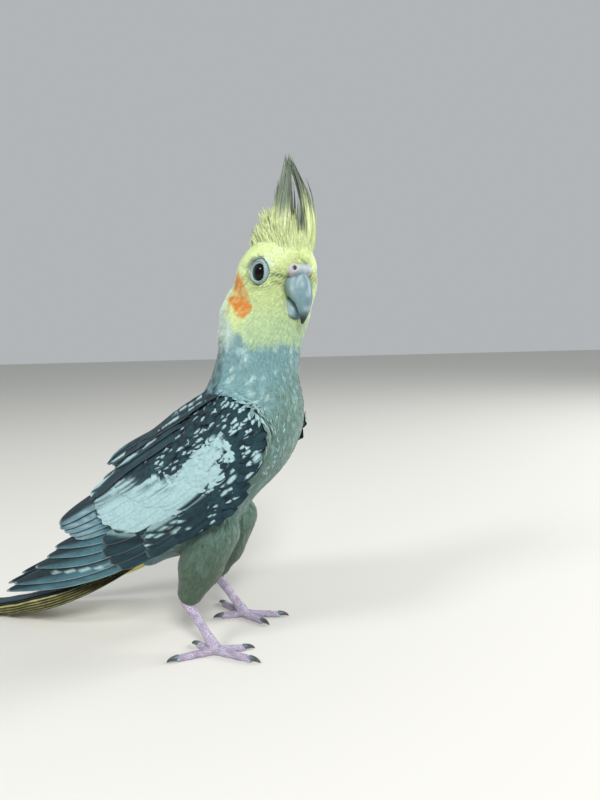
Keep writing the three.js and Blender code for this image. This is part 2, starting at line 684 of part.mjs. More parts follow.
// Height of a layer: it settles once the feathers under it have ended
function tailLayer(layer, t) {
  let height = TAIL_LOWEST;
  for (let under = 0; under < layer; under++) {
    const end = TAIL_PAIR_LENGTHS[Math.min(under, TAIL_PAIRS - 1)];
    const [start, stop] = TAIL_SETTLING;
    height += TAIL_LAYER * (1 - THREE.MathUtils.smoothstep(t, end + start, end + stop));
  }
  return height;
}
function tailFeather(pair, side) {
  const middlePair = pair === TAIL_PAIRS - 1;
  const overMiddle = middlePair && side > 0;
  const length = TAIL_PAIR_LENGTHS[pair] - (overMiddle ? 3 : 0);
  const [outer, inner] = [[], []];
  for (const mark of [0, 0.25, 0.48, 0.66, 0.82, 0.94, 1]) {
    const t = -TAIL_SINK + (length + TAIL_SINK) * mark;
    const parting = 0.35 + 0.65 * Math.min(t / TAIL_SPREAD_LENGTH, 1);
    const y = side * TAIL_PAIR_SPREAD[pair] * parting;
    const widest = middlePair ? TAIL_HALF_WIDTH.middle : Math.min(TAIL_HALF_WIDTH.sides, Math.abs(y) - 0.3);
    const half = widest * pointedShape(mark);
    const height = tailLayer(overMiddle ? TAIL_PAIRS : pair, t);
    const thick = mark < 1 ? VANE : VANE_TIP;
    const across = [y - half, y + half];
    outer.push(across.map((at) => onTail(t, at, height + thick / 2)));
    inner.push(across.map((at) => onTail(t, at, height - thick / 2)));
  }
  return sheetSolid(outer, inner);
}

// Flesh and small coverts at the root of the tail, as [length, share of the full section]
const TAIL_CORE = [[-14, 0.5], [-11, 0.85], [-2, 1], [10, 0.9], [22, 0.62], [27, 0.3]];
const TAIL_CORE_HALF = { wide: 8.4, high: 5 };
const TAIL_CORE_LEVEL = 2.8;
function tail() {
  const pieces = [];
  for (let pair = 0; pair < TAIL_PAIRS; pair++) {
    for (const side of Object.values(SIDES)) pieces.push(tailFeather(pair, side));
  }
  const core = TAIL_CORE.map(([t, swell]) => {
    const middle = onTail(t, 0, TAIL_CORE_LEVEL);
    const top = onTail(t, 0, TAIL_CORE_LEVEL + TAIL_CORE_HALF.high * swell);
    return { middle, wide: [0, TAIL_CORE_HALF.wide * swell, 0], high: sub(top, middle) };
  });
  return wasm.Manifold.union([ovalLoft(core, 12), ...pieces])
    .subtract(bodyCutter)
    .trimByPlane([0, 0, 1], 0);
}
node('tail', tail(), TAIL_YELLOW);

// Legs
function leg(side) {
  const s = SIDES[side];
  const heel = [-41, s * 15.5, 21];
  const foot = [FOOT_X, s * FOOT_Y, 3];
  const knee = [-29, s * 11, 51];
  const shankPath = [heel, mix(heel, foot, 0.35), mix(heel, foot, 0.7), foot];
  const shankRadii = [2.7, 1.9, 1.8, 2.6];
  const thigh = barSolid(
    [knee, mix(knee, heel, 0.5), mix(knee, heel, 0.85)],
    [10.5, 8.6, 5.2],
    10,
  );
  const shank = barSolid(shankPath, shankRadii, 8);
  const shankCutter = barSolid(shankPath, shankRadii, 8, GAP);
  node(`thigh_${side}`, thigh.subtract(bodyCutter).subtract(shankCutter), PALE_OLIVE);

  // Two toes point forward and two back
  const toes = [
    { name: 'inner_front', turn: -24, length: 12 },
    { name: 'outer_front', turn: 10, length: 17 },
    { name: 'inner_back', turn: -158, length: 9 },
    { name: 'outer_back', turn: 146, length: 15 },
  ];
  const onFoot = (turn, reach, height) => {
    const angle = radians(turn) * s;
    return [FOOT_X + Math.cos(angle) * reach, s * FOOT_Y + Math.sin(angle) * reach, height];
  };
  let wholeFoot = null;
  for (const { name, turn, length } of toes) {
    const reaches = [0, 0.35, 0.65, 1].map((t) => t * length);
    const radii = [2, 1.6, 1.5, 1.35];
    const toe = barSolid(reaches.map((reach, i) => onFoot(turn, reach, radii[i] - 0.3)), radii, 6);
    wholeFoot = wholeFoot ? wholeFoot.add(toe) : toe;
    const tip = onFoot(turn, length, 0);
    const claw = clawSolid(tip, onFoot(turn, length + 1, 0), 4.6);
    const toeCutter = barSolid(
      reaches.map((reach, i) => onFoot(turn, reach, radii[i] - 0.3)),
      radii,
      6,
      GAP,
    );
    node(`claw_${side}_${name}`, claw.subtract(toeCutter), CLAW_DARK, 0.4);
  }
  node(`shank_${side}`, shank.trimByPlane([0, 0, 1], GAP), FOOT_LILAC, 0.7);
  node(`foot_${side}`, wholeFoot.subtract(shankCutter).trimByPlane([0, 0, 1], 0), FOOT_LILAC, 0.7);
}

// Claw: a tapered hook from the end of a toe down to just above the floor
function clawSolid(tip, next, length) {
  const way = unit(sub(next, tip));
  const points = [];
  const radii = [];
  const steps = 2;
  for (let i = 0; i <= steps; i++) {
    const t = i / steps;
    radii.push(1.05 * (1 - t) + 0.22);
    const ahead = scale(way, length * Math.sin(t * 1.35) + 0.2);
    points.push(add(add(tip, ahead), [0, 0, 1.6 + 0.5 * t - 1.7 * t * t]));
  }
  return barSolid(points, radii, 5);
}
for (const side of Object.keys(SIDES)) leg(side);

// Crest: narrow feathers in rows from the forehead back, rooted in a low pad on the crown.
// In the head's frame, base is the x of the roots, tip the [x, z] of the tips, spread the y of the
// outer roots, sides which of left, middle and right there are, and bow how far they curve forward.
const CREST_ROWS = [
  { base: 12.6, tip: [11.8, 49], spread: 4.8, sides: [-1, 1], bow: 5 },
  { base: 9.5, tip: [10.2, 45], spread: 3.4, sides: [-1, 0, 1], bow: 4 },
  { base: 6, tip: [6.4, 40], spread: 5, sides: [-1, 1], bow: 3 },
  { base: 3, tip: [2.4, 35.5], spread: 4, sides: [-1, 0, 1], bow: 2 },
  { base: -0.5, tip: [-2.6, 30.5], spread: 3.2, sides: [-1, 1], bow: 1 },
  { base: -4, tip: [-9, 25.5], spread: 1.6, sides: [0], bow: 0 },
];
const CREST_ROOT_Z = 10; // inside the head
const CREST_HALF_WIDTH = 2.3;
function crestFeather({ base, tip, spread, bow }, side) {
  const path = new THREE.CubicBezierCurve3(
    new THREE.Vector3(base, side * spread, CREST_ROOT_Z),
    new THREE.Vector3(base + bow, side * spread * (1.7 + 0.7 * side), CREST_ROOT_Z + 0.3 * tip[1]),
    new THREE.Vector3(tip[0] + 0.9 * bow, side * spread * (0.85 + 0.45 * side), 0.72 * tip[1]),
    new THREE.Vector3(tip[0], side * 0.9 + 0.6, tip[1]),
  );
  const facing = unit([0.55 + 0.06 * bow, side * 0.9, 0]);
  const [front, back] = [[], []];
  for (const t of [0, 0.28, 0.52, 0.76, 0.92, 1]) {
    const middle = path.getPoint(t).toArray();
    const tangent = path.getTangent(t).toArray();
    const across = unit(cross(facing, tangent));
    const normal = unit(cross(tangent, across));
    const half = CREST_HALF_WIDTH * (0.75 + 0.25 * Math.sin(t * 3)) * (1 - 0.88 * t ** 2.2);
    const thick = VANE * (1 - 0.3 * t);
    const rows = [[front, thick / 2], [back, -thick / 2]];
    for (const [face, lift] of rows) {
      const raised = add(middle, scale(normal, lift));
      face.push([add(raised, scale(across, -half)), add(raised, scale(across, half))].map(onHead));
    }
  }
  return sheetSolid(front, back);
}
function crest() {
  const pad = ballSolid(onHead([4.2, 0, 11.2]), [14, 10.4, 8.2], HEAD_FRAME, 10);
  const feathers = CREST_ROWS.flatMap((row) => row.sides.map((side) => crestFeather(row, side)));
  return wasm.Manifold.union([pad, ...feathers]).subtract(bodyCutter);
}
node('crest', crest(), LEMON);

// Origin: the middle of the box, at floor level
const box = new THREE.Box3().setFromObject(model);
const middle = box.getCenter(new THREE.Vector3());
model.position.set(-middle.x, -middle.y, -box.min.z);

export default model;
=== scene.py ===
import bpy
import numpy as np
from mathutils import Matrix, Vector


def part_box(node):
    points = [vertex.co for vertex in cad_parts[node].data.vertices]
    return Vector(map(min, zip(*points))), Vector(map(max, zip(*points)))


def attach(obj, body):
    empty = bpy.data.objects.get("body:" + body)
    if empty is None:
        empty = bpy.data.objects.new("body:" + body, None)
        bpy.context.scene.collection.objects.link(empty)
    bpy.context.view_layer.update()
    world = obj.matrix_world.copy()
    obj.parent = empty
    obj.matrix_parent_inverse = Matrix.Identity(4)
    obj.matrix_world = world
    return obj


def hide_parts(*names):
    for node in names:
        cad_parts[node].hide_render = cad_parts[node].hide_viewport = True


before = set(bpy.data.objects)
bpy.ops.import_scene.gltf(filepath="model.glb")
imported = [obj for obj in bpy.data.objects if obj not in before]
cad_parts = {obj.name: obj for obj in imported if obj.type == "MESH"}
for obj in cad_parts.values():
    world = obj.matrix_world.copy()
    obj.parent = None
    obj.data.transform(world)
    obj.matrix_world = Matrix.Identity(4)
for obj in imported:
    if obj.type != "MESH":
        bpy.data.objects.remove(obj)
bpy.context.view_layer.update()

# Driving dimensions, as the solids have them; H is the level of the shoulders
MM = 0.001
H = 92.0
TRUNK_PITCH = 52
HEAD_YAW = -35
HEAD_PITCH = 2
HEAD_CENTRE = np.array([-1.0, -1.0, H + 58.5])
WING_SLOPE = {"right": 29, "left": 28}
TAIL_ROOT = (-58.0, 43.0)
TAIL_SLOPE = 38
FOOT = np.array([-29.0, 17.0, 0])
KNEE = np.array([-29.0, 11.0, 51.0])
HEEL = np.array([-41.0, 15.5, 21.0])
EYE_PLACE = np.array([6.6, 10.1, 4.6])
EYE_RADIUS = 4.3
SIDES = {"left": 1, "right": -1}
RNG = np.random.default_rng(7)


# Vectors and curves

def unit(a):
    return a / np.maximum(np.linalg.norm(a, axis=-1, keepdims=True), 1e-9)


def mix(a, b, t):
    return a + (b - a) * t


def smooth(low, high, x):
    t = np.clip((x - low) / (high - low), 0, 1)
    return t * t * (3 - 2 * t)


def vec(*parts):
    """Numbers or arrays side by side along a last axis."""
    return np.stack(np.broadcast_arrays(*parts), -1)


def turns(count):
    """Angles evenly round a circle."""
    return np.linspace(0, 2 * np.pi, count, endpoint=False)


def grid(rows, columns):
    return np.meshgrid(rows, columns, indexing="ij")


def curve(knots, x):
    """Value at x of a curve through (x, value) knots, eased between them."""
    xs, ys = np.array(knots, float).T
    x = np.clip(np.asarray(x, float), xs[0], xs[-1])
    i = np.clip(np.searchsorted(xs, x), 1, len(xs) - 1)
    before, after = np.maximum(i - 2, 0), np.minimum(i + 1, len(xs) - 1)
    span = xs[i] - xs[i - 1]
    m0 = (ys[i] - ys[before]) / (xs[i] - xs[before]) * span
    m1 = (ys[after] - ys[i - 1]) / (xs[after] - xs[i - 1]) * span
    t = (x - xs[i - 1]) / span
    return mix(ys[i - 1], ys[i], t * t * (3 - 2 * t)) + m0 * t * (1 - t) ** 2 - m1 * t * t * (1 - t)


def curves(rows, x, knots=None):
    """Values at x of a curve through each column of rows, one row to a knot."""
    rows = np.array(rows, float)
    knots = np.arange(len(rows)) if knots is None else knots
    return [curve(vec(knots, column), x) for column in rows.T]


def frame_of(yaw, pitch):
    """Rows of forward, left and up, turned by yaw and then raised by pitch, in degrees."""
    cy, sy = np.cos(np.radians(yaw)), np.sin(np.radians(yaw))
    cp, sp = np.cos(np.radians(pitch)), np.sin(np.radians(pitch))
    return np.array([[cy * cp, sy * cp, sp], [-sy, cy, 0], [-cy * sp, -sy * sp, cp]])


TRUNK = frame_of(0, TRUNK_PITCH)
HEAD = frame_of(HEAD_YAW, HEAD_PITCH)


def on_head(p):
    return HEAD_CENTRE + np.asarray(p, float) @ HEAD


def in_head(p):
    return (p - HEAD_CENTRE) @ HEAD.T


eye_low, eye_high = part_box("eye_right")
ORIGIN = np.array((eye_low + eye_high) / 2) / MM - on_head(EYE_PLACE * [1, -1, 1])


# Colours, as the eye sees them, turned to linear light

def colour(r, g, b):
    return (np.array([r, g, b]) / 255.0) ** 2.2


LEMON = colour(224, 238, 162)
PALE_LEMON = colour(240, 249, 206)
CHEEK = colour(226, 136, 58)
SAGE = colour(142, 172, 146)
RUFF = colour(216, 232, 212)
LORES = colour(116, 130, 90)
NECK_GREY = colour(122, 155, 156)
NECK_PALE = colour(180, 206, 200)
BREAST = colour(104, 128, 117)
# olive of the lower breast and belly, darkened with painted shade
SHADED_OLIVE = colour(80, 95, 79)
SLATE = colour(36, 65, 74)
SLATE_DARK = colour(13, 26, 34)
FLIGHT_BLUE = colour(74, 114, 125)
FLIGHT_PALE = colour(164, 194, 204)
PATCH = colour(164, 196, 199)
PATCH_SHADE = colour(140, 172, 178)
CREAM = colour(200, 214, 212)
CREST_GREY = colour(132, 146, 128)
CREST_DARK = colour(66, 72, 62)
TAIL_YELLOW = colour(206, 200, 112)
TAIL_PALE = colour(228, 226, 168)
TAIL_BAR = colour(62, 64, 52)
BILL_BLUE = colour(104, 134, 141)
BILL_PALE = colour(164, 184, 188)
BILL_LIGHT = colour(186, 200, 202)
BILL_TIP = colour(34, 36, 40)
CERE_PINK = colour(186, 176, 182)
CERE_GREY = colour(158, 170, 176)
NOSTRIL = colour(96, 62, 54)
LID_BLUE = colour(160, 184, 188)
PUPIL = colour(7, 7, 8)
IRIS = colour(15, 12, 13)
FOOT_LILAC = colour(188, 178, 200)
FOOT_SHADE = colour(156, 142, 164)
CLAW_DARK = colour(70, 64, 68)
FLOOR_PAPER = colour(214, 212, 206)


def paint(base, weight, over):
    return base + (over - base) * weight[..., None]


def ripple(p, scale, seed):
    """Soft pseudo-noise from -1 to 1."""
    total = np.zeros(p.shape[:-1])
    draw = np.random.default_rng(seed)
    for _ in range(5):
        way = draw.normal(size=3) / scale
        total += np.sin(p @ way + draw.uniform(0, 2 * np.pi))
    return total / 2.6


# Rounded forms as distance functions

def ellipsoid(centre, radii, axes=HEAD):
    radii = np.array(radii, float)

    def distance(p):
        q = (p - centre) @ axes.T / radii
        k = np.linalg.norm(q, axis=-1)
        return k * (k - 1) / np.maximum(np.linalg.norm(q / radii, axis=-1), 1e-9)

    return distance


def cone(start, end, start_radius, end_radius):
    start, end = np.array(start, float), np.array(end, float)
    axis = end - start

    def distance(p):
        t = np.clip((p - start) @ axis / (axis @ axis), 0, 1)
        away = p - (start + t[..., None] * axis)
        return np.linalg.norm(away, axis=-1) - mix(start_radius, end_radius, t)

    return distance


def blend(a, b, width):
    h = np.maximum(width - np.abs(a - b), 0) / width
    return np.minimum(a, b) - h**3 * width / 6


def union(forms):
    def distance(p):
        d = np.full(p.shape[:-1], 1e3)
        for form, width in forms:
            d = blend(d, form(p), width)
        return d

    return distance


CHEEK_BALL = (9, 9, 9.5)
BODY_FORMS = [
    (ellipsoid([-18.5, 0, H - 2], (31, 24, 21.5), TRUNK), 1),
    (ellipsoid([-38, 0, H - 25], (31, 23, 20.5), TRUNK), 10),
    (cone([-24, 0, H - 2], [-66, 0, H - 23], 13.5, 10), 10),
    (cone([-50, 0, H - 40], [-66, 0, H - 54], 15, 8), 10),
    (cone([-14.5, 0, H + 10], [-7.5, 0, H + 40], 17.5, 16), 12),
    (ellipsoid(on_head([0.5, 0, 1.5]), (16, 16.6, 15.5)), 6),
    (ellipsoid(on_head([3.5, 0, 8]), (12.5, 15.2, 9.5)), 5),
    (ellipsoid(on_head([-2.5, 0, -10]), (14.5, 15, 12)), 6),
    (ellipsoid(on_head([-9, 8.5, -7]), CHEEK_BALL), 5),
    (ellipsoid(on_head([-9, -8.5, -7]), CHEEK_BALL), 5),
    (ellipsoid(on_head([4.2, 0, 11.2]), (14, 10.4, 8.2)), 4),
]
EYE_WAY = unit(np.array([0.1, 1.0, 0.05]))
SOCKET_RADIUS = 5.2
SOCKET_AHEAD = 3.4
SOCKET_BLEND = 1.6
BILL_BLEND = 4.0
bill_hollow = ellipsoid(on_head([17.5, 0, -4]), (8, 7.6, 10.5))


def turned(way):
    """Axes whose third is the given way."""
    w = unit(np.array(way, float))
    first = unit(np.cross([0, 0, 1.0], w))
    return np.stack([first, np.cross(w, first), w])


def eye_middle(side):
    return on_head(EYE_PLACE * [1, side, 1])


def eye_way(side):
    return (EYE_WAY * [1, side, 1]) @ HEAD


def hollowed(form):
    """A form with the head's hollows for the eyes and the root of the bill."""

    def distance(p):
        d = -blend(-form(p), bill_hollow(p), BILL_BLEND)
        for side in (1, -1):
            centre = eye_middle(side) + eye_way(side) * SOCKET_AHEAD
            d = -blend(-d, np.linalg.norm(p - centre, axis=-1) - SOCKET_RADIUS, SOCKET_BLEND)
        return d

    return distance


def leg_line(side, end=1.0):
    """Knee of one leg, and the point at a share of the way to its heel."""
    knee = KNEE * [1, side, 1]
    return knee, mix(knee, HEEL * [1, side, 1], end)


def thigh_forms(side):
    knee, half = leg_line(side, 0.5)
    end = leg_line(side, 0.85)[1]
    return [(cone(knee, half, 10.2, 8.4), 4), (cone(half, end, 8.4, 5), 3)]


body_distance = hollowed(union(BODY_FORMS))
coat_distance = hollowed(union(BODY_FORMS + thigh_forms(1) + thigh_forms(-1)))


def slope_of(distance, p, step=0.15):
    base = distance(p)
    return unit(np.stack([distance(p + step * axis) - base for axis in np.eye(3)], axis=-1))


def settle(p, height, distance, rounds=2):
    """Points moved onto the surface that lies height above the form."""
    for _ in range(rounds):
        p = p + (height - distance(p))[..., None] * slope_of(distance, p)
    return p


def last_inside(origin, way, distance, reach, rounds):
    """The farthest points inside a form on rays from inside it."""
    near, far = np.zeros(way.shape[:-1]), np.full(way.shape[:-1], float(reach))
    for _ in range(rounds):
        half = (near + far) / 2
        inside = distance(origin + way * half[..., None]) < 0
        near, far = np.where(inside, half, near), np.where(inside, far, half)
    return origin + way * near[..., None]


# The body's surface over an angle round its middle line and a length along it

SPINE = np.array([
    [-60, 0, H - 49], [-50, 0, H - 39], [-32, 0, H - 22], [-19, 0, H - 2], [-13, 0, H + 20], [-8, 0, H + 42],
    HEAD_CENTRE,
])
SPINE_PADDED = np.vstack([2 * SPINE[0] - SPINE[1], SPINE, 2 * SPINE[-1] - SPINE[-2]])
CAP = 0.16
BODY_REACH = 50
BODY_ROUNDS = 16
LEFT = np.array([0.0, 1.0, 0.0])


def spine_at(s):
    x = np.clip(s, 0, 1) * (len(SPINE) - 1)
    i = np.minimum(x.astype(int), len(SPINE) - 2)
    f = (x - i)[..., None]
    a, b, c, d = (SPINE_PADDED[i + k] for k in range(4))
    square, cube = 2 * a - 5 * b + 4 * c - d, 3 * b - 3 * c + d - a
    point = 0.5 * (2 * b + (c - a) * f + square * f**2 + cube * f**3)
    return point, unit(0.5 * ((c - a) + 2 * square * f + 3 * cube * f**2))


def skin_at(theta, s):
    origin, tangent = spine_at(s)
    front = unit(np.cross(LEFT, tangent))
    lift = (np.maximum(s - 1, 0) - np.maximum(-s, 0)) / CAP * np.pi / 2
    round_way = front * np.cos(theta)[..., None] + LEFT * np.sin(theta)[..., None]
    way = round_way * np.cos(lift)[..., None] + tangent * np.sin(lift)[..., None]
    return last_inside(origin, way, body_distance, BODY_REACH, BODY_ROUNDS)


# Meshes from arrays

def grid_faces(rows, columns, closed=False):
    """Triangles of a sheet of points, row by row; closed joins its last column to its first."""
    i, j = grid(np.arange(rows - 1), np.arange(columns if closed else columns - 1))
    k = (j + 1) % columns
    a, b = i * columns + j, i * columns + k
    c, d = (i + 1) * columns + k, (i + 1) * columns + j
    return np.concatenate([vec(a, b, c), vec(a, c, d)], 1).reshape(-1, 3)


def place_object(name, data):
    placed = bpy.data.objects.new(name, data)
    bpy.context.scene.collection.objects.link(placed)
    return placed


def make_piece(name, points, faces, material, slot, replaces, marks, uvs=None):
    """A Blender mesh of points in millimetres that rides on the body."""
    mesh = bpy.data.meshes.new(name)
    mesh.vertices.add(len(points))
    mesh.vertices.foreach_set("co", ((points + ORIGIN) * MM).astype(np.float32).ravel())
    corners = faces.astype(np.int32).ravel()
    mesh.loops.add(len(corners))
    mesh.loops.foreach_set("vertex_index", corners)
    mesh.polygons.add(len(faces))
    mesh.polygons.foreach_set("loop_start", np.arange(0, len(corners), 3, dtype=np.int32))
    mesh.polygons.foreach_set("use_smooth", np.full(len(faces), True))
    mesh.update(calc_edges=True)
    attribute = mesh.color_attributes.new("mark", "FLOAT_COLOR", "POINT")
    rgba = np.concatenate([np.broadcast_to(marks, points.shape), np.ones((len(points), 1))], -1)
    attribute.data.foreach_set("color", rgba.astype(np.float32).ravel())
    for layer_name, uv in (uvs or {}).items():
        layer = mesh.uv_layers.new(name=layer_name)
        layer.data.foreach_set("uv", uv[corners].astype(np.float32).ravel())
    mesh.validate()
    piece = place_object(name, mesh)
    mesh.materials.append(material)
    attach(piece, "root")
    if replaces:
        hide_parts(*replaces)
    return piece


def outward(points, faces):
    """Faces turned so that the closed mesh has its outside out."""
    a, b, c = (points[faces[:, k]] for k in range(3))
    volume = np.einsum("ij,ij->i", a, np.cross(b, c)).sum()
    return faces if volume > 0 else faces[:, ::-1]


def loft(rings):
    """Closed mesh through rings of points (rows, points, 3), with a fan over each end."""
    rows, count = rings.shape[:2]
    points = np.vstack([rings.reshape(-1, 3), rings[0].mean(0), rings[-1].mean(0)])
    first = np.arange(count)
    last = first + (rows - 1) * count
    start_fan = vec(len(points) - 2, np.roll(first, -1), first)
    end_fan = vec(last, np.roll(last, -1), len(points) - 1)
    return points, outward(points, np.vstack([grid_faces(rows, count, closed=True), start_fan, end_fan]))


def all_ways(rows, columns, edge):
    """Directions to all sides, from near the third axis's lower end to near its upper end."""
    la, lo = grid(np.linspace(edge - np.pi / 2, np.pi / 2 - edge, rows), turns(columns))
    return vec(np.cos(la) * np.cos(lo), np.cos(la) * np.sin(lo), np.sin(la))


# Vanes: thin closed blades, many at once

RIM_ANGLE = np.radians(70)
TUFT_PATCH = 0.0015


def vane_sheet(rows, columns):
    """Sheet of triangles in which none has all its corners on the rim."""
    sheet = grid_faces(rows, columns)
    a = np.array([columns - 2, (rows - 2) * columns])
    b, c, d = a + 1, a + columns + 1, a + columns
    kept = [~np.isin(sheet, corner).all(1) for corner in vec(a, b, c, d)]
    return np.vstack([sheet[kept[0] & kept[1]], vec(a, b, d), vec(b, c, d)])


class Vanes:
    """Blades gathered for one piece: points, triangles, markings and the two maps."""

    def __init__(self):
        self.parts = []
        self.count = 0

    def add(self, top, under, marks, along, across, root_uv, patch=TUFT_PATCH):
        """Blades by their upper sides (n, rows, columns, 3) and what leads from these to the undersides."""
        n, rows, columns = top.shape[:3]
        one = rows * columns + (rows - 2) * (columns - 2)
        below = np.arange(rows * columns).reshape(rows, columns)
        below[1:-1, 1:-1] = np.arange(rows * columns, one).reshape(rows - 2, columns - 2)
        sheet = vane_sheet(rows, columns)
        both = np.vstack([sheet[:, ::-1], below.ravel()[sheet]])
        starts = self.count + one * np.arange(n)[:, None, None]
        self.count += n * one

        def gather(values, lower=None):
            """Values at the upper side and at the underside's inner points, blade by blade."""
            values = np.broadcast_to(values, (n, rows, columns) + values.shape[-1:])
            lower = (values if lower is None else lower)[:, 1:-1, 1:-1]
            sides = [side.reshape(n, -1, side.shape[-1]) for side in (values, lower)]
            return np.concatenate(sides, 1).reshape(-1, values.shape[-1])

        bake = root_uv[:, None, None, :] + vec(across, 2 * along - 1) * np.array(patch)
        self.parts.append((gather(top, top + under), (both + starts).reshape(-1, 3), gather(marks),
                           gather(vec(across * 0.5 + 0.5, along)), gather(bake)))

    def piece(self, name, material, slot, replaces=()):
        points, faces, marks, vane, bake = (np.vstack(part) for part in zip(*self.parts))
        uvs = {"vane": vane, "OFBake": bake}
        made = make_piece(name, points, faces, material, slot, replaces, marks, uvs)
        made.data.set_sharp_from_angle(angle=RIM_ANGLE)


def blade_shape(t):
    swell = 0.55 + 0.45 * np.sin(np.minimum(2 * t, 1) * np.pi / 2)
    return swell * np.sqrt(np.maximum(1 - 0.97 * t**6, 0))


def pointed_shape(t):
    return blade_shape(t) * (1 - 0.55 * np.clip((t - 0.6) / 0.4, 0, 1) ** 1.5)


# Materials

SOCKETS = {"sheen_roughness": 0.4, "coat_roughness": 0.08, "subsurface_scale": 0.002}
FEATHER_RIDGE = 0.00012
SKIN_RIDGE = 0.0003
SCALE_RIDGE = 0.0004
PAPER_RIDGE = 0.0005


def node_of(tree, kind, inputs=None, **settings):
    """A shader node; an input is a number or the socket that feeds it."""
    made = tree.nodes.new("ShaderNode" + kind)
    for key, value in settings.items():
        setattr(made, key, value)
    for key, value in (inputs or {}).items():
        if isinstance(value, bpy.types.NodeSocket):
            tree.links.new(value, made.inputs[key])
        else:
            made.inputs[key].default_value = value
    return made


def math_of(tree, operation, *terms):
    return node_of(tree, "Math", dict(enumerate(terms)), operation=operation).outputs[0]


def material(name, roughness, build, specular, **weights):
    """A principled material; weights are more of its sockets, written as sheen_weight for Sheen Weight."""
    made = bpy.data.materials.new(name)
    made.use_nodes = True
    shader = next(n for n in made.node_tree.nodes if n.type == "BSDF_PRINCIPLED")
    for key, value in {"roughness": roughness, **SOCKETS, **weights}.items():
        shader.inputs[key.replace("_", " ").title()].default_value = value
    shader.inputs["Specular IOR Level"].default_value = specular
    build(made.node_tree, shader)
    return made


def add_bump(tree, shader, height, strength, distance):
    bump = node_of(tree, "Bump", {"Strength": strength, "Distance": distance, "Height": height})
    tree.links.new(bump.outputs["Normal"], shader.inputs["Normal"])


def scaled(tree, shader, base, factor):
    """The base colour as a colour times a factor."""
    times = node_of(tree, "VectorMath", {0: base, "Scale": factor}, operation="SCALE")
    tree.links.new(times.outputs["Vector"], shader.inputs["Base Color"])


def varied_mark(tree, shader, scale, low, high):
    """The markings, lightened and darkened by a fine noise."""
    mark = node_of(tree, "VertexColor", layer_name="mark")
    place = node_of(tree, "TexCoord").outputs["Object"]
    noise = node_of(tree, "TexNoise", {"Scale": scale, "Detail": 4.0, "Roughness": 0.65, "Vector": place})
    spread = node_of(tree, "MapRange", {"From Min": 0.3, "From Max": 0.7, "To Min": low, "To Max": high,
                                        "Value": noise.outputs["Fac"]})
    scaled(tree, shader, mark.outputs["Color"], spread.outputs["Result"])
    return noise


def feather_nodes(barbs, bend, depth):
    """Barbs run out from the shaft and towards the tip, as fine slanted ridges."""

    def build(tree, shader):
        varied_mark(tree, shader, 900, 0.86, 1.12)
        uv = node_of(tree, "UVMap", uv_map="vane").outputs["UV"]
        parts = node_of(tree, "SeparateXYZ", {"Vector": uv}).outputs
        away = math_of(tree, "ABSOLUTE", math_of(tree, "SUBTRACT", parts["X"], 0.5))
        slant = math_of(tree, "ADD", math_of(tree, "MULTIPLY", away, -bend), parts["Y"])
        wave = math_of(tree, "SINE", math_of(tree, "MULTIPLY", slant, barbs))
        add_bump(tree, shader, wave, depth, FEATHER_RIDGE)

    return build


def skin_nodes(scale, depth):
    def build(tree, shader):
        noise = varied_mark(tree, shader, scale, 0.8, 1.1)
        add_bump(tree, shader, noise.outputs["Fac"], depth, SKIN_RIDGE)

    return build


def scale_nodes(scale, depth):
    """Small flat scales parted by fine creases, with painted shade darkening the creases."""

    def build(tree, shader):
        varied_mark(tree, shader, 1500, 0.85, 1.1)
        place = node_of(tree, "TexCoord").outputs["Object"]
        cells = node_of(tree, "TexVoronoi", {"Scale": scale, "Vector": place}, feature="DISTANCE_TO_EDGE")
        gap = cells.outputs["Distance"]
        spread = node_of(tree, "MapRange", {"From Min": 0.0, "From Max": 0.12, "Value": gap})
        add_bump(tree, shader, spread.outputs["Result"], depth, SCALE_RIDGE)
        # painted shade: the colour darkens along the creases between the scales
        shade = node_of(tree, "MapRange", {"To Min": 0.62, "To Max": 1.05, "Value": spread.outputs["Result"]})
        scaled(tree, shader, shader.inputs["Base Color"].links[0].from_socket, shade.outputs["Result"])

    return build


def paper_nodes(tree, shader):
    noise = node_of(tree, "TexNoise", {"Scale": 120.0, "Detail": 3.0})
    add_bump(tree, shader, noise.outputs["Fac"], 0.05, PAPER_RIDGE)


DOWN = material("feathers_small", 0.8, feather_nodes(60, 1.2, 0.2), 0.15, sheen_weight=0.3,
                subsurface_weight=0.25)
VANE = material("feathers_wing", 0.62, feather_nodes(420, 0.35, 0.4), 0.25, sheen_weight=0.03)
TAIL = material("feathers_tail", 0.62, feather_nodes(520, 0.25, 0.4), 0.25, sheen_weight=0.03)
CREST = material("feathers_crest", 0.7, feather_nodes(200, 0.6, 0.5), 0.25, sheen_weight=0.25)
SKIN = material("skin_under_feathers", 0.9, skin_nodes(700, 0.5), 0.1)
BARE = material("bare_skin", 0.5, skin_nodes(1300, 0.4), 0.4, subsurface_weight=0.1)
HORN = material("bill_horn", 0.42, skin_nodes(420, 0.2), 0.45, coat_weight=0.05)
CLAW = material("claw_horn", 0.35, skin_nodes(600, 0.15), 0.5)
SCALES = material("foot_scales", 0.55, scale_nodes(1100, 0.7), 0.35, subsurface_weight=0.08)
EYE = material("eye_wet", 0.04, skin_nodes(500, 0.0), 0.2)


# Markings of trunk, neck and head

def blob(x, z, centre, radii):
    """1 inside an oval of the head's side view and 0 outside, soft at its rim."""
    return 1 - smooth(0.74, 1.22, np.hypot((x - centre[0]) / radii[0], (z - centre[1]) / radii[1]))


